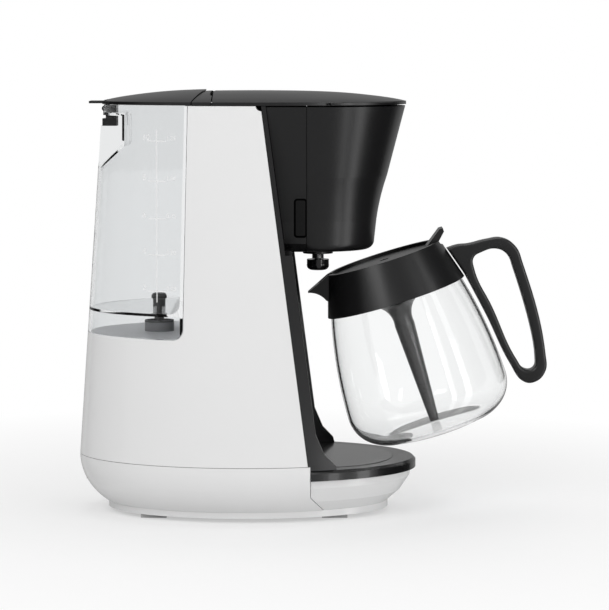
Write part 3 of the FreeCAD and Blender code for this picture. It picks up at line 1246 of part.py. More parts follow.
def build_carafe():
    seat = s.tray_top + s.plate_proud + s.seat_gap
    w = s.glass_wall
    glass = turned(
        "glass",
        (
            (0, s.glass_kick),
            (s.glass_ring - s.glass_ring_w, s.glass_kick),
            (s.glass_ring, 0),
            (s.glass_base_r, s.glass_base_h, -s.glass_corner),
            (s.glass_max_r, s.glass_max_h, -s.glass_side),
            (s.glass_neck_r, s.glass_neck_h),
            (s.glass_mouth_r, s.glass_mouth_h),
            (s.glass_mouth_r - w, s.glass_mouth_h),
            (s.glass_neck_r - w, s.glass_neck_h, s.glass_side),
            (s.glass_max_r - w, s.glass_max_h, s.glass_corner),
            (s.glass_base_r - w, s.glass_base_h + w),
            (s.glass_ring, s.glass_kick + w),
            (0, s.glass_kick + w),
        ),
    )
    carried(publish("carafe_glass", glass), s.axis_x, seat)
    fit, thick = s.collar_fit, s.collar_wall
    neck, mouth = s.glass_neck_r + fit, s.glass_mouth_r + fit
    ledge = s.glass_mouth_h + fit
    rim = s.collar_top_h
    opening = s.lid_radius + s.lid_edge
    slope = (s.glass_neck_r - s.glass_mouth_r) / (s.glass_mouth_h - s.glass_neck_h)
    top_out = opening + s.collar_lip
    collar = turned(
        "collar_ring",
        (
            (neck, s.glass_neck_h),
            (neck + thick, s.glass_neck_h),
            (top_out, rim),
            (opening, rim),
            (opening, ledge + s.collar_flat),
            (s.tube_top_r, ledge + s.collar_flat),
            (s.tube_top_r, ledge),
            (mouth, ledge),
        ),
        s.axis_x,
        seat,
    )
    tip = s.axis_x - s.spout_reach
    low_x = s.axis_x - s.spout_low_r
    spout = pad(
        "spout",
        (
            (s.axis_x - top_out + s.spout_bite, seat + rim),
            (s.axis_x - top_out, seat + rim),
            (tip, seat + s.spout_h, s.spout_bow),
            (low_x, seat + s.spout_low_h),
            (low_x + s.spout_bite, seat + s.spout_low_h - s.spout_bite),
        ),
        s.spout_tip_half + s.spout_wall,
    )
    inside = turned(
        "spout_room",
        (
            (0, s.glass_neck_h - s.bore_run),
            (neck + slope * s.bore_run, s.glass_neck_h - s.bore_run),
            (mouth, ledge),
            (0, ledge),
        ),
        s.axis_x,
        seat,
    )
    spout = cut("spout_open", spout, inside)
    channel_y = (-s.spout_tip_half, s.spout_tip_half)
    channel_z = (seat + rim - s.spout_channel, 2 * s.reach)
    channel = box("channel", (tip - s.spare, s.axis_x), channel_y, channel_z)
    lever_x = s.axis_x + s.lid_radius - s.lever_in
    pin_z = seat + rim - s.lever_drop
    notch_half = s.lever_half + s.lid_edge
    notch_z = (pin_z - s.lever_room_low, 2 * s.reach)
    notch = box("lever_room", (lever_x - s.lever_room_in, s.reach), (-notch_half, notch_half), notch_z)
    pin_len = s.carafe_pin_len
    pin_at = (lever_x, -pin_len / 2, pin_z)
    pin_hole = rod("carafe_pin_hole", pin_at, s.carafe_pin_r, pin_len, "y")
    collar = cut("collar", fuse("collar_whole", collar, spout), channel, notch, pin_hole)
    carried(publish("carafe_collar", collar))
    pin_side = (-pin_len / 2, pin_len / 2)
    pin_rod = rod("carafe_pin_rod", (lever_x, -pin_len, pin_z), s.carafe_pin_r, 2 * pin_len, "y")
    pin = common("carafe_pin", pin_rod, box("carafe_pin_span", (0, s.reach), pin_side, (0, s.reach)))
    carried(publish("carafe_lid_pin", pin))
    base = seat + ledge + s.collar_flat
    disc = turned(
        "lid_disc",
        (
            (0, 0),
            (s.lid_radius, 0),
            (s.lid_radius, s.lid_thick, s.lid_bow),
            (0, s.lid_thick + s.lid_rise),
        ),
        s.axis_x,
        base,
    )
    hole = rod("drip_hole", (s.axis_x, 0, base - s.spare), s.lid_hole, s.bore_run)
    lever = pad(
        "lever",
        (
            (lever_x - s.lever_root, base + s.lever_lift),
            (lever_x + s.lever_heel, base + s.lever_lift),
            (s.axis_x + s.lever_out, seat + s.lever_up - s.lever_thick),
            (s.axis_x + s.lever_out, seat + s.lever_up),
            (s.axis_x + s.lever_out - s.lever_thick, seat + s.lever_up),
            (lever_x - s.lever_root, base + s.lid_thick + s.lever_crest),
        ),
        s.lever_half,
    )
    bore = rod("lever_bore", (lever_x, -pin_len, pin_z), s.carafe_pin_r, 2 * pin_len, "y")
    lid = cut("lid_plate", fuse("lid_body", disc, lever), hole, bore)
    carried(publish("carafe_lid", lid))
    t = s.tube_wall
    flare = s.tube_throat_h + s.tube_flare
    tube = turned(
        "tube",
        (
            (s.tube_end_r - t, s.tube_end_h),
            (s.tube_end_r, s.tube_end_h),
            (s.tube_throat_r, s.tube_throat_h, s.tube_bulge),
            (s.tube_top_r, flare),
            (s.tube_top_r, ledge + s.collar_flat),
            (s.tube_top_r - t, ledge + s.collar_flat),
            (s.tube_top_r - t, flare, -s.tube_bulge),
            (s.tube_throat_r - t, s.tube_throat_h),
        ),
    )
    carried(publish("mixing_tube", tube), s.axis_x, seat)
    x, z = s.axis_x, seat
    joint = neck + thick + s.handle_gap
    lean = slope * (s.glass_mouth_h - s.glass_neck_h)
    loop = pad(
        "loop",
        (
            (x + joint, z + s.glass_neck_h),
            (x + s.handle_low_x, z + s.handle_low_h),
            (x + s.handle_heel_x, z + s.handle_heel_h, -s.heel_bow),
            (x + s.handle_back_low_x, z + s.handle_back_low_h),
            (x + s.handle_back_top_x, z + s.handle_back_top_h, -s.back_bow),
            (x + s.handle_shoulder_x, z + s.handle_shoulder_h),
            (x + s.handle_bridge_x, z + s.handle_bridge_h),
            (x + s.handle_root_x, z + s.handle_root_h),
            (x + joint - lean, z + s.glass_mouth_h),
        ),
        s.handle_half,
    )
    finger = pad(
        "finger",
        (
            (x + s.loop_root_x, z + s.loop_root_h),
            (x + s.loop_low_x, z + s.loop_low_h),
            (x + s.loop_heel_x, z + s.loop_heel_h, -s.loop_bow),
            (x + s.loop_back_low_x, z + s.loop_back_low_h),
            (x + s.loop_back_top_x, z + s.loop_back_top_h, -s.loop_bow),
            (x + s.loop_shoulder_x, z + s.loop_shoulder_h),
            (x + s.loop_bridge_x, z + s.loop_bridge_h),
        ),
        s.handle_half + s.spare,
    )
    clear = s.glass_max_r + s.handle_clear
    top_clear = top_out + s.handle_gap
    gullet = turned(
        "handle_room",
        (
            (0, -s.bore_run),
            (clear, -s.bore_run),
            (clear, s.glass_max_h, -s.glass_side),
            (joint, s.glass_neck_h),
            (top_clear, rim),
            (top_clear, rim + s.bore_run),
            (0, rim + s.bore_run),
        ),
        x,
        seat,
    )
    screw_at = (x + mouth, 0, z + s.handle_screw_h)
    screw = rod("handle_screw_rod", screw_at, s.handle_screw_r, s.handle_screw_len, "x")
    inner = mouth + thick + s.handle_screw_sink
    inner_room = turned("screw_room", ((0, 0), (inner, 0), (inner, s.reach), (0, s.reach)), x, seat)
    carried(publish("carafe_handle", cut("handle", loop, finger, gullet, screw)))
    carried(publish("handle_screw", cut("screw_keep", screw, inner_room)))


def write_parts():
    doc.recompute()
    os.makedirs("parts", exist_ok=True)
    wrong = [o.Name for o in doc.Objects if "Invalid" in o.State or "Error" in o.State]
    if wrong:
        raise RuntimeError("these failed: " + ", ".join(wrong))
    for name, thing in NODES.items():
        shape = thing.Shape
        if shape.isNull() or not shape.isValid() or not shape.Solids:
            raise RuntimeError(name + " is not a valid solid")
        shape.exportStep(f"parts/{name}.step")


build_base()
build_plate()
build_body()
build_head()
build_top()
build_tank()
build_water()
build_controls()
build_carafe()
write_parts()
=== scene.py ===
"""Dresses a drip coffee maker with its finishes, glass, grip, spring, tank scale and stage."""
import json
import math

import bmesh
import bpy
from bpy.props import FloatProperty, FloatVectorProperty, PointerProperty
from mathutils import Matrix, Vector


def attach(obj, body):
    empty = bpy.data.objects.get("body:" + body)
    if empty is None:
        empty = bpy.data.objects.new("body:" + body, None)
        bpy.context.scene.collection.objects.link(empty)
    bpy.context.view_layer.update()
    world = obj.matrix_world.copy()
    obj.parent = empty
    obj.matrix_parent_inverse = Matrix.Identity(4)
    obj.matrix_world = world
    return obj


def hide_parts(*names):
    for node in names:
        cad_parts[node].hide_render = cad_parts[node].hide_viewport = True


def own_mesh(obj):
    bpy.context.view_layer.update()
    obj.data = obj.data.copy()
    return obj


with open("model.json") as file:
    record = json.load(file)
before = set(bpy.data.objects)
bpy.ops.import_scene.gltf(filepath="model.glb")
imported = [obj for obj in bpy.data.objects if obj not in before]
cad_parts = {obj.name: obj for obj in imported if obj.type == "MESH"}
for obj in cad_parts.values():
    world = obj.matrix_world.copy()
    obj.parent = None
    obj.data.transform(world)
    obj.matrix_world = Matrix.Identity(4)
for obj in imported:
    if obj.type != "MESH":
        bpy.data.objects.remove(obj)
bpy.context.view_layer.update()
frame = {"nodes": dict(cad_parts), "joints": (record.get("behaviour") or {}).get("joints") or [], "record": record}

bl_info = {
    "name": "Drip coffee maker",
    "version": (1, 0, 0),
    "blender": (4, 5, 0),
    "location": "View3D > Sidebar > Coffee maker",
    "description": "Builds the looks of a drip coffee maker round its solid model",
    "category": "Object",
}

NODES = frame["nodes"]
MM = 0.001
# Steps of the blown glass along its profile and round its axis.
CORNER_STEPS = 14
SIDE_STEPS = 22
NECK_STEPS = 3
TURN_STEPS = 112
SPRING_TURNS = 5
STEPS_PER_TURN = 30
# Rays on to the tank start this far on the near side.
RAY_START = -0.4
FLOOR_HALF = 6.0
BRIM_STEPS = 72
BRIM_START = math.radians(8)

# Outlines of the carafe's grip in millimetres from the foot of its glass.
GRIP_OUTSIDE = (
    (59.7, 117.0),
    (67.0, 78.0),
    (74.0, 33.0),
    (79.5, 17.5),
    (88.0, 13.8),
    (99.5, 19.5),
    (104.0, 33.0),
    (108.2, 112.0),
    (106.5, 127.0),
    (98.0, 136.4),
    (85.0, 139.2),
    (70.0, 140.2),
    (61.0, 142.0),
    (51.9, 142.0),
)
GRIP_CORNERS = (0, 13)
GRIP_INSIDE = (
    (68.6, 119.5),
    (73.5, 84.0),
    (80.0, 36.0),
    (84.0, 26.5),
    (91.0, 25.2),
    (95.2, 33.0),
    (99.4, 110.0),
    (98.0, 122.0),
    (91.0, 129.4),
    (78.0, 130.4),
    (70.8, 128.0),
)
SHARP_ANGLE = math.radians(38)

# Window of the painted shade in the finger recess beside the head seam: middle, half size, corner and line width.
RECESS_SHADE = ((43.7 * MM, 246.3 * MM), (4.6 * MM, 15.2 * MM), 2.0 * MM, 1.1 * MM)

# Marks of the filling scale: height, cups and litres.
SCALE_MARKS = (
    (309.0, "10", "1.25"),
    (277.0, "8", "1.00"),
    (247.0, "6", "0.75"),
    (218.0, "4", "0.50"),
    (189.0, "2", "0.25"),
)

# Lamps: name, place, width, height and share of the key lamp's power.
LAMPS = (
    ("key", (-0.9, -1.3, 1.3), 0.9, 1.2, 1.0),
    ("side", (1.5, -0.8, 0.3), 0.22, 0.9, 0.34),
    ("top", (0.1, 0.2, 1.7), 1.2, 0.9, 0.6),
    ("strip", (1.15, -1.4, 0.45), 0.16, 1.1, 0.4),
)
LAMP_AIM = Vector((0.05, 0, 0.18))

# Upright cards seen only in reflections: name, place, turn in degrees, half width and finish.
CARDS = (
    ("card_left", (-0.75, 0.15), 90, 0.44, "dark_card"),
    ("card_right", (0.85, 0.2), 90, 0.44, "dark_card"),
    ("strip_head", (0.83, -0.44), 62, 0.08, "bright_strip"),
    ("strip_carafe", (0.75, -0.83), 36, 0.06, "bright_strip"),
)
CARD_MIDDLE = 0.15
CARD_HALF_HEIGHT = 0.7

# The carafe is drawn upright about its own axis and then tipped to its place.
CARAFE_FOOT = Vector((157.6, 0.0, 67.5)) * MM
SWING = next(joint for joint in frame["joints"] if joint["name"] == "carafe_swing")
CARAFE_TILT = -math.radians(SWING["range_deg"][0])
CARAFE_PLACE = Matrix.Translation(CARAFE_FOOT) @ Matrix.Rotation(CARAFE_TILT, 4, (0, -1, 0))


def length(name, note, millimetres):
    return FloatProperty(name=name, description=note, unit="LENGTH", default=millimetres * MM)


def share(name, note, value):
    return FloatProperty(name=name, description=note, subtype="FACTOR", default=value, min=0, max=1)


def colour(name, note, value):
    return FloatVectorProperty(name=name, description=note, subtype="COLOR", size=3, default=value)


class FinishSettings(bpy.types.PropertyGroup):
    """Colours and gloss of the moulded finishes."""

    white: colour("White", "Moulded white shell", (0.83, 0.83, 0.83))
    black: colour("Black", "Moulded black pieces", (0.0085, 0.0085, 0.009))
    white_roughness: share("White roughness", "Gloss of the white shell", 0.24)
    black_roughness: share("Black roughness", "Gloss of the black pieces", 0.3)


class CarafeSettings(bpy.types.PropertyGroup):
    """Sizes of the blown glass and its grip."""

    wall: length("Wall", "Glass wall", 2.2)
    ring: length("Ring", "Foot ring radius", 38)
    ring_width: length("Ring width", "Foot ring width", 4)
    base: length("Base", "Base edge radius", 50)
    widest: length("Widest", "Widest radius", 68.4)
    neck: length("Neck", "Radius under the collar", 56.4)
    mouth: length("Mouth", "Mouth radius", 48)
    kick: length("Kick", "Hollow under the glass", 2.4)
    base_height: length("Base height", "Height of the base edge", 2.6)
    wide_height: length("Wide height", "Height of the widest glass", 28)
    neck_height: length("Neck height", "Height of the collar's foot", 116)
    mouth_height: length("Mouth height", "Height of the mouth", 141)
    corner: length("Corner", "Bulge of the lower corner", 4.6)
    side: length("Side", "Bulge of the side", 2.6)
    grip_half: length("Grip", "Half thickness of the grip", 8)
    grip_round: length("Edge", "Rounding of the grip", 2.2)


class HeadSettings(bpy.types.PropertyGroup):
    """Sizes round the brew head."""

    axis: length("Axis", "Brew axis", 58)
    coil: length("Coil", "Spring radius", 4.5)
    wire: length("Wire", "Spring wire radius", 0.4)
    spring_low: length("Spring foot", "On the knob", 209.45)
    spring_top: length("Spring top", "Under the flange", 214.25)
    mouth: length("Mouth", "Top of the brew head", 71.8)
    brim_low: length("Brim foot", "Under the cover", 337.6)
    brim_high: length("Brim top", "Beside the skirt", 339.4)
    oval_x: length("Oval", "Middle of the cover's oval", 5.5)
    oval_a: length("Oval length", "Half length inside the skirt", 124)
    oval_b: length("Oval width", "Half width inside the skirt", 73)


class ScaleSettings(bpy.types.PropertyGroup):
    """Sizes of the filling scale."""

    middle: length("Middle", "Upright line", -71.4)
    half_tick: length("Mark", "Half length of a mark", 7.4)
    line: length("Line", "Half width of a line", 0.35)
    over: length("Over", "Upright line past the marks", 9)
    cups_size: length("Cups", "Height of the cup numbers", 6.2)
    litres_size: length("Litres", "Height of the litre numbers", 4.6)
    cups_x: length("Cups place", "Cup numbers from the line", -12)
    litres_x: length("Litres place", "Litre numbers from the line", 7.8)
    lift: length("Lift", "Numbers above their mark", 0.8)
    proud: length("Proud", "Print off the tank", 0.12)


class StageSettings(bpy.types.PropertyGroup):
    """Camera and light."""

    lens: FloatProperty(name="Lens", description="Focal length in mm", default=148.0)
    distance: length("Distance", "Camera to object", 2070)
    height: length("Height", "Camera height", 381)
    aim_x: length("Aim X", "Middle of the picture", 46.9)
    aim_z: length("Aim Z", "Middle of the picture", 171)
    key: FloatProperty(name="Key", description="Power of the key lamp in watts", default=12.5)


class Wire:
    """A shader socket that takes part in Python sums."""

    def __init__(self, tree, socket):
        self.tree = tree
        self.socket = socket

    def _sum(self, operation, first, second):
        node = self.tree.nodes.new("ShaderNodeMath")
        node.operation = operation
        for slot, value in zip(node.inputs, (first, second)):
            plug(self.tree, slot, value)
        return Wire(self.tree, node.outputs[0])

    def __add__(self, other):
        return self._sum("ADD", self, other)

    def __radd__(self, other):
        return self._sum("ADD", other, self)

    def __sub__(self, other):
        return self._sum("SUBTRACT", self, other)

    def __rsub__(self, other):
        return self._sum("SUBTRACT", other, self)

    def __mul__(self, other):
        return self._sum("MULTIPLY", self, other)

    def __rmul__(self, other):
        return self._sum("MULTIPLY", other, self)

    def larger(self, other):
        return self._sum("MAXIMUM", self, other)

    def smaller(self, other):
        return self._sum("MINIMUM", self, other)

    def size(self):
        return self._sum("ABSOLUTE", self, 0.0)

    def root(self):
        return self._sum("SQRT", self, 0.0)


def plug(tree, slot, value):
    if isinstance(value, Wire):
        tree.links.new(value.socket, slot)
    else:
        slot.default_value = value


class Finish:
    """A node material under construction."""

    def __init__(self, name, tree=None):
        if tree is None:
            self.material = bpy.data.materials.new(name)
            self.material.use_nodes = True
            tree = self.material.node_tree
        self.tree = tree
        self.tree.nodes.clear()

    def node(self, kind, settings=None, output=0, **sockets):
        made = self.tree.nodes.new(kind)
        for key, value in (settings or {}).items():
            setattr(made, key, value)
        for key, value in sockets.items():
            plug(self.tree, made.inputs[key.replace("_", " ")], value)
        return Wire(self.tree, made.outputs[output])

    def place(self):
        return self.node("ShaderNodeTexCoord", output="Object")

    def noise(self, scale, detail=3.0):
        return self.node("ShaderNodeTexNoise", Vector=self.place(), Scale=scale, Detail=detail)

    def tint(self, share, first, second):
        made = self.tree.nodes.new("ShaderNodeMix")
        made.data_type = "RGBA"
        plug(self.tree, made.inputs[0], share)
        made.inputs[6].default_value = (*first, 1)
        made.inputs[7].default_value = (*second, 1)
        return Wire(self.tree, made.outputs[2])

    def between(self, value, source, target):
        """Maps a value from one range on to another."""
        return self.node(
            "ShaderNodeMapRange",
            Value=value,
            From_Min=source[0],
            From_Max=source[1],
            To_Min=target[0],
            To_Max=target[1],
        )

    def blend(self, factor, first, second):
        """Mixes two shaders."""
        made = self.tree.nodes.new("ShaderNodeMixShader")
        for slot, value in zip(made.inputs, (factor, first, second)):
            plug(self.tree, slot, value)
        return Wire(self.tree, made.outputs[0])

    def bump(self, height, depth):
        return self.node("ShaderNodeBump", Height=height, Strength=0.35, Distance=depth)

    def done(self, surface, world=False):
        kind = "ShaderNodeOutputWorld" if world else "ShaderNodeOutputMaterial"
        output = self.tree.nodes.new(kind)
        self.tree.links.new(surface.socket, output.inputs["Surface"])
        return None if world else self.material


def recess_shade(f, middle, half, corner, line):
    """Painted shade: dark in a line round a rounded window in the side view, half dark inside it."""
    split = f.tree.nodes.new("ShaderNodeSeparateXYZ")
    plug(f.tree, split.inputs[0], f.place())
    past = []
    for axis, (centre, reach) in zip(("X", "Z"), zip(middle, half)):
        past.append((Wire(f.tree, split.outputs[axis]) - centre).size() - (reach - corner))
    beyond = past[0].larger(0.0) * past[0].larger(0.0) + past[1].larger(0.0) * past[1].larger(0.0)
    away = beyond.root() + past[0].larger(past[1]).smaller(0.0) - corner
    edge = f.between(away.size(), (line / 2, line), (1.0, 0.0))
    floor = f.between(away, (-line, 0.0), (0.45, 0.0))
    return edge.larger(floor)


def moulded(
    name, colour, roughness, grain_scale=900.0, grain_depth=0.00002, coat=0.0, vary=0.12, recess=None
):
    """Injection-moulded plastic: a fine spark grain and slow changes of gloss; a recess window, if given, gets
    painted shade.
    """
    f = Finish(name)
    slow = f.noise(14.0)
    fine = f.noise(grain_scale, 2.0)
    darker = tuple(c * (1 - vary) for c in colour)
    shader = f.node(
        "ShaderNodeBsdfPrincipled",
        Base_Color=f.tint(slow, darker, colour),
        Roughness=roughness + (slow - 0.5) * 0.1 + (fine - 0.5) * 0.05,
        Normal=f.bump(fine, grain_depth),
        Coat_Weight=coat,
        Coat_Roughness=0.06,
    )
    # Painted shade in the recess: a near-black matt shader mixed in over the plastic by a mask.
    if recess:
        shade = f.node("ShaderNodeBsdfDiffuse", Color=(0.001, 0.001, 0.001, 1))
        shader = f.blend(recess_shade(f, *recess), shader, shade)
    return f.done(shader)


def metal(name, colour, roughness, stretch=(6.0, 6.0, 900.0)):
    """Sheet or wire metal with fine drawing lines."""
    f = Finish(name)
    mapped = f.node("ShaderNodeMapping", Vector=f.place(), Scale=stretch)
    lines = f.node("ShaderNodeTexNoise", Vector=mapped, Scale=3.0, Detail=4.0)
    shader = f.node(
        "ShaderNodeBsdfPrincipled",
        Base_Color=f.tint(lines, tuple(c * 0.8 for c in colour), colour),
        Roughness=roughness + (lines - 0.5) * 0.16,
        Metallic=1.0,
        Normal=f.bump(lines, 0.00002),
    )
    return f.done(shader)


def clear(name, colour, ior, roughness, ripple):
    """Clear glass or plastic; light passes it on its way to what is inside."""
    f = Finish(name)
    waves = f.noise(22.0, 1.0)
    body = f.node(
        "ShaderNodeBsdfPrincipled",
        Base_Color=f.tint(waves, tuple(c * 0.985 for c in colour), colour),
        Roughness=roughness + waves * 0.01,
        IOR=ior,
        Transmission_Weight=1.0,
        Normal=f.bump(waves, ripple),
    )
    through = f.node("ShaderNodeBsdfTransparent", Color=(0.96, 0.965, 0.97, 1))
    shadow = f.node("ShaderNodeLightPath", output="Is Shadow Ray")
    return f.done(f.blend(shadow, body, through))


def paint(obj, material):
    obj.data.materials.clear()
    obj.data.materials.append(material)


def finished(bm, name, body, material, smooth=True, place=None):
    """Turns a bmesh into a piece whose place is in its mesh."""
    if place is not None:
        bm.transform(place)
    for face in bm.faces:
        face.smooth = smooth
    mesh = bpy.data.meshes.new(name)
    bm.to_mesh(mesh)
    bm.free()
    obj = bpy.data.objects.new(name, mesh)
    bpy.context.scene.collection.objects.link(obj)
    mesh.materials.append(material)
    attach(obj, body)
    return obj


def bowed(start, end, sagitta, count):
    """Points from start up to end on an arc that bows to the left of travel."""
    a = Vector(start)
    b = Vector(end)
    chord = b - a
    left = Vector((-chord.y, chord.x)).normalized()
    points = []
    for k in range(count):
        share = k / count
        lift = 4 * sagitta * share * (1 - share)
        points.append(a + chord * share + left * lift)
    return points


def finishes():
    """One material for each finish, made once."""
    look = bpy.context.scene.coffee_finish
    made = {
        "white_plastic": moulded(
            "white_shell", look.white, look.white_roughness, 500.0, 0.00001, 0.35, 0.02
        ),
        "black_plastic": moulded("black_satin", look.black, look.black_roughness),
        "inner_plastic": moulded("inner_grey", (0.12, 0.12, 0.125), 0.5),
        "grey_plastic": moulded("bay_grey", (0.42, 0.42, 0.43), 0.45),
        "clear_plastic": clear("clear_tank", (0.87, 0.88, 0.885), 1.3, 0.02, 0.00003),
        "clear_glass": clear("blown_glass", (0.985, 0.99, 0.99), 1.42, 0.0, 0.00004),
        "steel": metal("drawn_steel", (0.55, 0.55, 0.55), 0.3),
        "rubber": moulded("soft_foot", (0.5, 0.5, 0.5), 0.6, 300.0, 0.00005),
        "heater_metal": metal("cast_alloy", (0.65, 0.65, 0.66), 0.5, (60.0, 60.0, 60.0)),
    }
    return made


class COFFEE_OT_finishes(bpy.types.Operator):
    """Gives every solid of the model its finish"""

    bl_idname = "coffee.finishes"
    bl_label = "Finishes"

    def execute(self, context):
        made = finishes()
        made["hot_plate"] = moulded("plate_enamel", (0.012, 0.012, 0.012), 0.2, 700.0, 0.00001, 0.4)
        made["tray"] = moulded("tray_gloss", (0.009, 0.009, 0.0095), 0.22, 900.0, 0.00001, 0.3)
        made["hose"] = moulded("hose_rubber", (0.03, 0.03, 0.03), 0.65)
        made["knob"] = moulded("knob_black", (0.008, 0.008, 0.008), 0.16, 900.0, 0.00001, 0.5)
        look = context.scene.coffee_finish
        # The housing's finish carries painted shade in its finger recess.
        made["housing"] = moulded("housing_black_shaded_recess", look.black, look.black_roughness, recess=RECESS_SHADE)
        slots = {part["node"]: part["material_slot"] for part in frame["record"]["subparts"]}
        special = {
            "hot_plate": "hot_plate",
            "tray": "tray",
            "drip_plunger": "knob",
            "head_housing": "housing",
            "seat_seal": "hose",
            "inlet_hose": "hose",
            "feed_hose": "hose",
            "riser_tube": "hose",
        }
        for name, obj in NODES.items():
            paint(obj, made[special.get(name, slots[name])])
        return {"FINISHED"}


class COFFEE_OT_glass(bpy.types.Operator):
    """Blows the carafe's glass"""

    bl_idname = "coffee.glass"
    bl_label = "Carafe glass"

    def execute(self, context):
        size = context.scene.coffee_carafe
        wall = size.wall
        base = (size.base, size.base_height)
        widest = (size.widest, size.wide_height)
        neck = (size.neck, size.neck_height)
        mouth = (size.mouth, size.mouth_height)
        base_in = (size.base - wall, size.base_height + wall)
        widest_in, neck_in, mouth_in = ((r - wall, h) for r, h in (widest, neck, mouth))
        outer = [(0, size.kick), (size.ring - size.ring_width, size.kick), (size.ring, 0)]
        outer += bowed(base, widest, -size.corner, CORNER_STEPS)
        outer += bowed(widest, neck, -size.side, SIDE_STEPS)
        outer += bowed(neck, mouth, 0, NECK_STEPS)
        inner = [mouth, mouth_in]
        inner += bowed(neck_in, widest_in, size.side, SIDE_STEPS)
        inner += bowed(widest_in, base_in, size.corner, CORNER_STEPS)
        inner += [base_in, (size.ring, size.kick + wall), (0, size.kick + wall)]
        bm = bmesh.new()
        chain = [bm.verts.new((p[0], 0, p[1])) for p in outer + inner]
        edges = [bm.edges.new(pair) for pair in zip(chain, chain[1:])]
        bmesh.ops.spin(
            bm,
            geom=chain + edges,
            axis=(0, 0, 1),
            cent=(0, 0, 0),
            steps=TURN_STEPS,
            angle=math.tau,
            use_merge=True,
        )
        bmesh.ops.remove_doubles(bm, verts=bm.verts, dist=1e-6)
        bmesh.ops.recalc_face_normals(bm, faces=bm.faces)
        material = NODES["carafe_glass"].data.materials[0]
        piece = finished(bm, "blown_bowl", "carafe", material, place=CARAFE_PLACE)
        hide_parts("carafe_glass")
        return {"FINISHED"}


def outline_spline(curve, points, corners=()):
    """Adds a smooth closed outline in millimetres; the numbered points in corners stay sharp."""
    spline = curve.splines.new("BEZIER")
    spline.bezier_points.add(len(points) - 1)
    spline.use_cyclic_u = True
    for k, (knot, at) in enumerate(zip(spline.bezier_points, points)):
        knot.co = (at[0] * MM, at[1] * MM, 0)
        kind = "VECTOR" if k in corners else "AUTO"
        knot.handle_left_type = kind
        knot.handle_right_type = kind
    spline.resolution_u = 10


class COFFEE_OT_grip(bpy.types.Operator):
    """Moulds the carafe's looped grip with its rounded edges"""

    bl_idname = "coffee.grip"
    bl_label = "Carafe grip"

    def execute(self, context):
        size = context.scene.coffee_carafe
        curve = bpy.data.curves.new("grip_outline", "CURVE")
        curve.dimensions = "2D"
        curve.fill_mode = "BOTH"
        curve.extrude = size.grip_half - size.grip_round
        curve.bevel_depth = size.grip_round
        curve.bevel_resolution = 4
        curve.offset = -size.grip_round
        outline_spline(curve, GRIP_OUTSIDE, GRIP_CORNERS)
        outline_spline(curve, GRIP_INSIDE)
        drawn = bpy.data.objects.new("grip_outline", curve)
        mesh = bpy.data.meshes.new_from_object(drawn)
        bm = bmesh.new()
        bm.from_mesh(mesh)
        bpy.data.objects.remove(drawn)
        bpy.data.meshes.remove(mesh)
        bmesh.ops.remove_doubles(bm, verts=bm.verts, dist=1e-6)
        bmesh.ops.recalc_face_normals(bm, faces=bm.faces)
        upright = CARAFE_PLACE @ Matrix.Rotation(math.radians(90), 4, "X")
        material = NODES["carafe_handle"].data.materials[0]
        piece = finished(bm, "looped_grip", "carafe", material, place=upright)
        piece.data.set_sharp_from_angle(angle=SHARP_ANGLE)
        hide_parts("carafe_handle")
        return {"FINISHED"}


def on_surface(node, x, z, proud):
    """The point on the near side of a solid at x, z, lifted a little off it."""
    hit, where, _, _ = NODES[node].ray_cast(Vector((x, RAY_START, z)), Vector((0, 1, 0)))
    if not hit:
        raise RuntimeError(f"nothing of {node} at {x:.4f}, {z:.4f}")
    return where + Vector((0, -proud, 0))


class COFFEE_OT_spring(bpy.types.Operator):
    """Winds the drip stop's spring"""

    bl_idname = "coffee.spring"
    bl_label = "Drip spring"

    def execute(self, context):
        size = context.scene.coffee_head
        steps = STEPS_PER_TURN * SPRING_TURNS
        bm = bmesh.new()
        section = Matrix.Translation((size.coil, 0, 0)) @ Matrix.Rotation(math.radians(90), 4, "X")
        ring = bmesh.ops.create_circle(bm, segments=10, radius=size.wire, matrix=section)["verts"]
        rise = size.spring_top - size.spring_low - 2 * size.wire
        bmesh.ops.spin(
            bm,
            geom=ring + bm.edges[:],
            axis=(0, 0, 1),
            cent=(0, 0, 0),
            dvec=(0, 0, rise / steps),
            steps=steps,
            angle=SPRING_TURNS * math.tau,
        )
        bmesh.ops.remove_doubles(bm, verts=bm.verts, dist=1e-6)
        bmesh.ops.holes_fill(bm, edges=bm.edges, sides=0)
        bmesh.ops.recalc_face_normals(bm, faces=bm.faces)
        place = Matrix.Translation((size.axis, 0, size.spring_low + size.wire))
        material = NODES["drip_spring"].data.materials[0]
        piece = finished(bm, "wound_spring", "machine", material, place=place)
        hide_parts("drip_spring")
        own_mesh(piece)
        return {"FINISHED"}


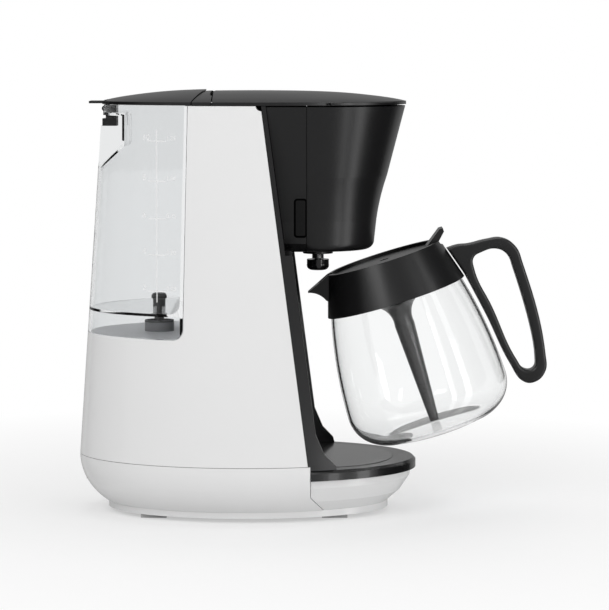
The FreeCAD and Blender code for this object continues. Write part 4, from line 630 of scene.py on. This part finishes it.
class COFFEE_OT_brim(bpy.types.Operator):
    """Widens the front cover over the round mouth of the brew head"""

    bl_idname = "coffee.brim"
    bl_label = "Cover brim"

    def execute(self, context):
        size = context.scene.coffee_head
        bm = bmesh.new()
        rows = []
        for k in range(BRIM_STEPS + 1):
            angle = BRIM_START + (math.pi - 2 * BRIM_START) * k / BRIM_STEPS - math.pi / 2
            inner = self.skirt(size, angle)
            outer = max(size.mouth, inner)
            low, high = size.brim_low, size.brim_high
            spots = ((inner, low), (outer, low), (outer, high), (inner, high))
            aim = Vector((math.cos(angle), math.sin(angle), 0))
            rows.append([bm.verts.new(aim * reach + Vector((0, 0, z))) for reach, z in spots])
        for row, after in zip(rows, rows[1:]):
            for n in range(len(row)):
                bm.faces.new((row[n], row[n - 1], after[n - 1], after[n]))
        bmesh.ops.holes_fill(bm, edges=bm.edges, sides=0)
        bmesh.ops.remove_doubles(bm, verts=bm.verts, dist=1e-6)
        bmesh.ops.recalc_face_normals(bm, faces=bm.faces)
        material = NODES["top_cover"].data.materials[0]
        place = Matrix.Translation((size.axis, 0, 0))
        piece = finished(bm, "cover_brim", "top_cover", material, place=place)
        piece.data.set_sharp_from_angle(angle=SHARP_ANGLE)
        return {"FINISHED"}

    def skirt(self, size, angle):
        """How far the cover's oval skirt lies from the brew axis in a direction."""
        x = size.axis - size.oval_x
        along, across = math.cos(angle) / size.oval_a, math.sin(angle) / size.oval_b
        a = along**2 + across**2
        b = along * x / size.oval_a
        c = (x / size.oval_a) ** 2 - 1
        return (math.sqrt(b * b - a * c) - b) / a


class COFFEE_OT_scale(bpy.types.Operator):
    """Prints the filling scale on the tank"""

    bl_idname = "coffee.scale"
    bl_label = "Tank scale"

    def execute(self, context):
        size = context.scene.coffee_scale
        ink = moulded("scale_ink", (0.9, 0.9, 0.9), 0.5, 800.0, 0.00001)
        upright = Matrix.Rotation(math.radians(90), 4, "X")
        heights = [mark[0] * MM for mark in SCALE_MARKS]
        top, low = heights[0], heights[-1]
        bars = [(size.middle, (top + low) / 2, size.line, (top - low) / 2 + size.over)]
        bars += [(size.middle, z, size.half_tick, size.line) for z in heights]
        bm = bmesh.new()
        for x, z, half_x, half_z in bars:
            spread = Matrix.Translation((x, 0, z)) @ upright @ Matrix.Diagonal((half_x, half_z, 1, 1))
            bmesh.ops.create_grid(bm, x_segments=8, y_segments=24, size=1, matrix=spread)
        for z, (_, cups, litres) in zip(heights, SCALE_MARKS):
            numerals = (
                (cups, size.cups_x, size.cups_size),
                (litres, size.litres_x, size.litres_size),
            )
            for text, x, tall in numerals:
                curve = bpy.data.curves.new("numeral", "FONT")
                curve.body = text
                curve.size = tall
                label = bpy.data.objects.new("numeral", curve)
                mesh = bpy.data.meshes.new_from_object(label)
                mesh.transform(Matrix.Translation((size.middle + x, 0, z + size.lift)) @ upright)
                bm.from_mesh(mesh)
                bpy.data.objects.remove(label)
                bpy.data.meshes.remove(mesh)
        for vert in bm.verts:
            vert.co = on_surface("tank_shell", vert.co.x, vert.co.z, size.proud)
        bmesh.ops.recalc_face_normals(bm, faces=bm.faces)
        finished(bm, "filling_scale", "tank", ink, False)
        return {"FINISHED"}


class COFFEE_OT_stage(bpy.types.Operator):
    """Sets the floor, lamps and camera"""

    bl_idname = "coffee.stage"
    bl_label = "Stage"

    def execute(self, context):
        self.floor()
        self.cards()
        self.sky()
        self.lamps(context.scene.coffee_stage)
        self.camera(context.scene.coffee_stage)
        context.scene.view_settings.view_transform = "Standard"
        return {"FINISHED"}

    def floor(self):
        f = Finish("pale_floor")
        speck = f.noise(60.0)
        pale = f.tint(speck, (0.88, 0.88, 0.88), (0.9, 0.9, 0.9))
        matt = f.node("ShaderNodeBsdfDiffuse", Color=pale)
        glow = f.node("ShaderNodeEmission", Color=(1, 1, 1, 1), Strength=1.0)
        seen = f.node("ShaderNodeLightPath", output="Is Camera Ray")
        passed = f.node("ShaderNodeLightPath", output="Is Transmission Ray")
        away = f.node("ShaderNodeVectorMath", {"operation": "LENGTH"}, output="Value", Vector=f.place())
        fade = f.between(away, (0.16, 0.6), (0.45, 1.0))
        material = f.done(f.blend(seen.larger(passed) * fade, matt, glow))
        bm = bmesh.new()
        bmesh.ops.create_grid(bm, x_segments=2, y_segments=2, size=FLOOR_HALF)
        self.stand(bm, "floor", material).visible_glossy = False

    def stand(self, bm, name, material):
        mesh = bpy.data.meshes.new(name)
        bm.to_mesh(mesh)
        bm.free()
        obj = bpy.data.objects.new(name, mesh)
        mesh.materials.append(material)
        bpy.context.scene.collection.objects.link(obj)
        return obj

    def cards(self):
        """Dark cards draw the edges of the clear pieces; bright strips draw bands on the black ones."""
        f = Finish("dark_card")
        looks = {"dark_card": f.done(f.node("ShaderNodeBsdfDiffuse", Color=(0.02, 0.02, 0.02, 1)))}
        f = Finish("bright_strip")
        glow = f.node("ShaderNodeEmission", Color=(1, 1, 1, 1), Strength=3.0)
        looks["bright_strip"] = f.done(glow)
        standing = Matrix.Rotation(math.radians(90), 4, "X")
        for name, at, turn, half_width, look in CARDS:
            bm = bmesh.new()
            place = Matrix.Translation((*at, CARD_MIDDLE)) @ Matrix.Rotation(math.radians(turn), 4, "Z")
            spread = place @ standing @ Matrix.Diagonal((half_width, CARD_HALF_HEIGHT, 1, 1))
            bmesh.ops.create_grid(bm, x_segments=1, y_segments=1, size=1, matrix=spread)
            card = self.stand(bm, name, looks[look])
            card.visible_camera = False
            card.visible_diffuse = False
            card.visible_shadow = False
            card.visible_transmission = False

    def sky(self):
        world = bpy.data.worlds.new("white_room")
        world.use_nodes = True
        bpy.context.scene.world = world
        f = Finish("white_room", world.node_tree)
        seen = f.node("ShaderNodeLightPath", output="Is Camera Ray")
        passed = f.node("ShaderNodeLightPath", output="Is Transmission Ray")
        gloss = f.node("ShaderNodeLightPath", output="Is Glossy Ray")
        strength = 0.44 + seen.larger(passed) * 0.56 - gloss * 0.06
        f.done(f.node("ShaderNodeBackground", Color=(1, 1, 1, 1), Strength=strength), world=True)

    def lamps(self, size):
        for name, at, width, depth, share_of_key in LAMPS:
            lamp = bpy.data.lights.new(name, "AREA")
            lamp.shape = "RECTANGLE"
            lamp.size = width
            lamp.size_y = depth
            lamp.energy = size.key * share_of_key
            obj = bpy.data.objects.new(name, lamp)
            obj.location = at
            obj.rotation_euler = (LAMP_AIM - Vector(at)).to_track_quat("-Z", "Y").to_euler()
            bpy.context.scene.collection.objects.link(obj)

    def camera(self, size):
        data = bpy.data.cameras.new("camera")
        data.lens = size.lens
        data.sensor_width = 36
        camera = bpy.data.objects.new("camera", data)
        aim = Vector((size.aim_x, 0, size.aim_z))
        camera.location = (size.aim_x, -size.distance, size.height)
        camera.rotation_euler = (aim - camera.location).to_track_quat("-Z", "Y").to_euler()
        bpy.context.scene.collection.objects.link(camera)
        bpy.context.scene.camera = camera


class COFFEE_PT_panel(bpy.types.Panel):
    """Lists the steps that dress the coffee maker"""

    bl_idname = "COFFEE_PT_panel"
    bl_label = "Coffee maker"
    bl_space_type = "VIEW_3D"
    bl_region_type = "UI"
    bl_category = "Coffee maker"

    def draw(self, context):
        for step in STEPS:
            self.layout.operator(step.bl_idname)


STEPS = (
    COFFEE_OT_finishes,
    COFFEE_OT_glass,
    COFFEE_OT_grip,
    COFFEE_OT_spring,
    COFFEE_OT_brim,
    COFFEE_OT_scale,
    COFFEE_OT_stage,
)
GROUPS = {
    "coffee_finish": FinishSettings,
    "coffee_carafe": CarafeSettings,
    "coffee_head": HeadSettings,
    "coffee_scale": ScaleSettings,
    "coffee_stage": StageSettings,
}


def register():
    for group in GROUPS.values():
        bpy.utils.register_class(group)
    for name, group in GROUPS.items():
        setattr(bpy.types.Scene, name, PointerProperty(type=group))
    for step in (*STEPS, COFFEE_PT_panel):
        bpy.utils.register_class(step)


def unregister():
    for step in reversed((*STEPS, COFFEE_PT_panel)):
        bpy.utils.unregister_class(step)
    for name, group in GROUPS.items():
        delattr(bpy.types.Scene, name)
        bpy.utils.unregister_class(group)


def main():
    register()
    bpy.ops.coffee.finishes()
    bpy.ops.coffee.glass()
    bpy.ops.coffee.grip()
    bpy.ops.coffee.spring()
    bpy.ops.coffee.brim()
    bpy.ops.coffee.scale()
    bpy.ops.coffee.stage()


if __name__ == "__main__":
    main()
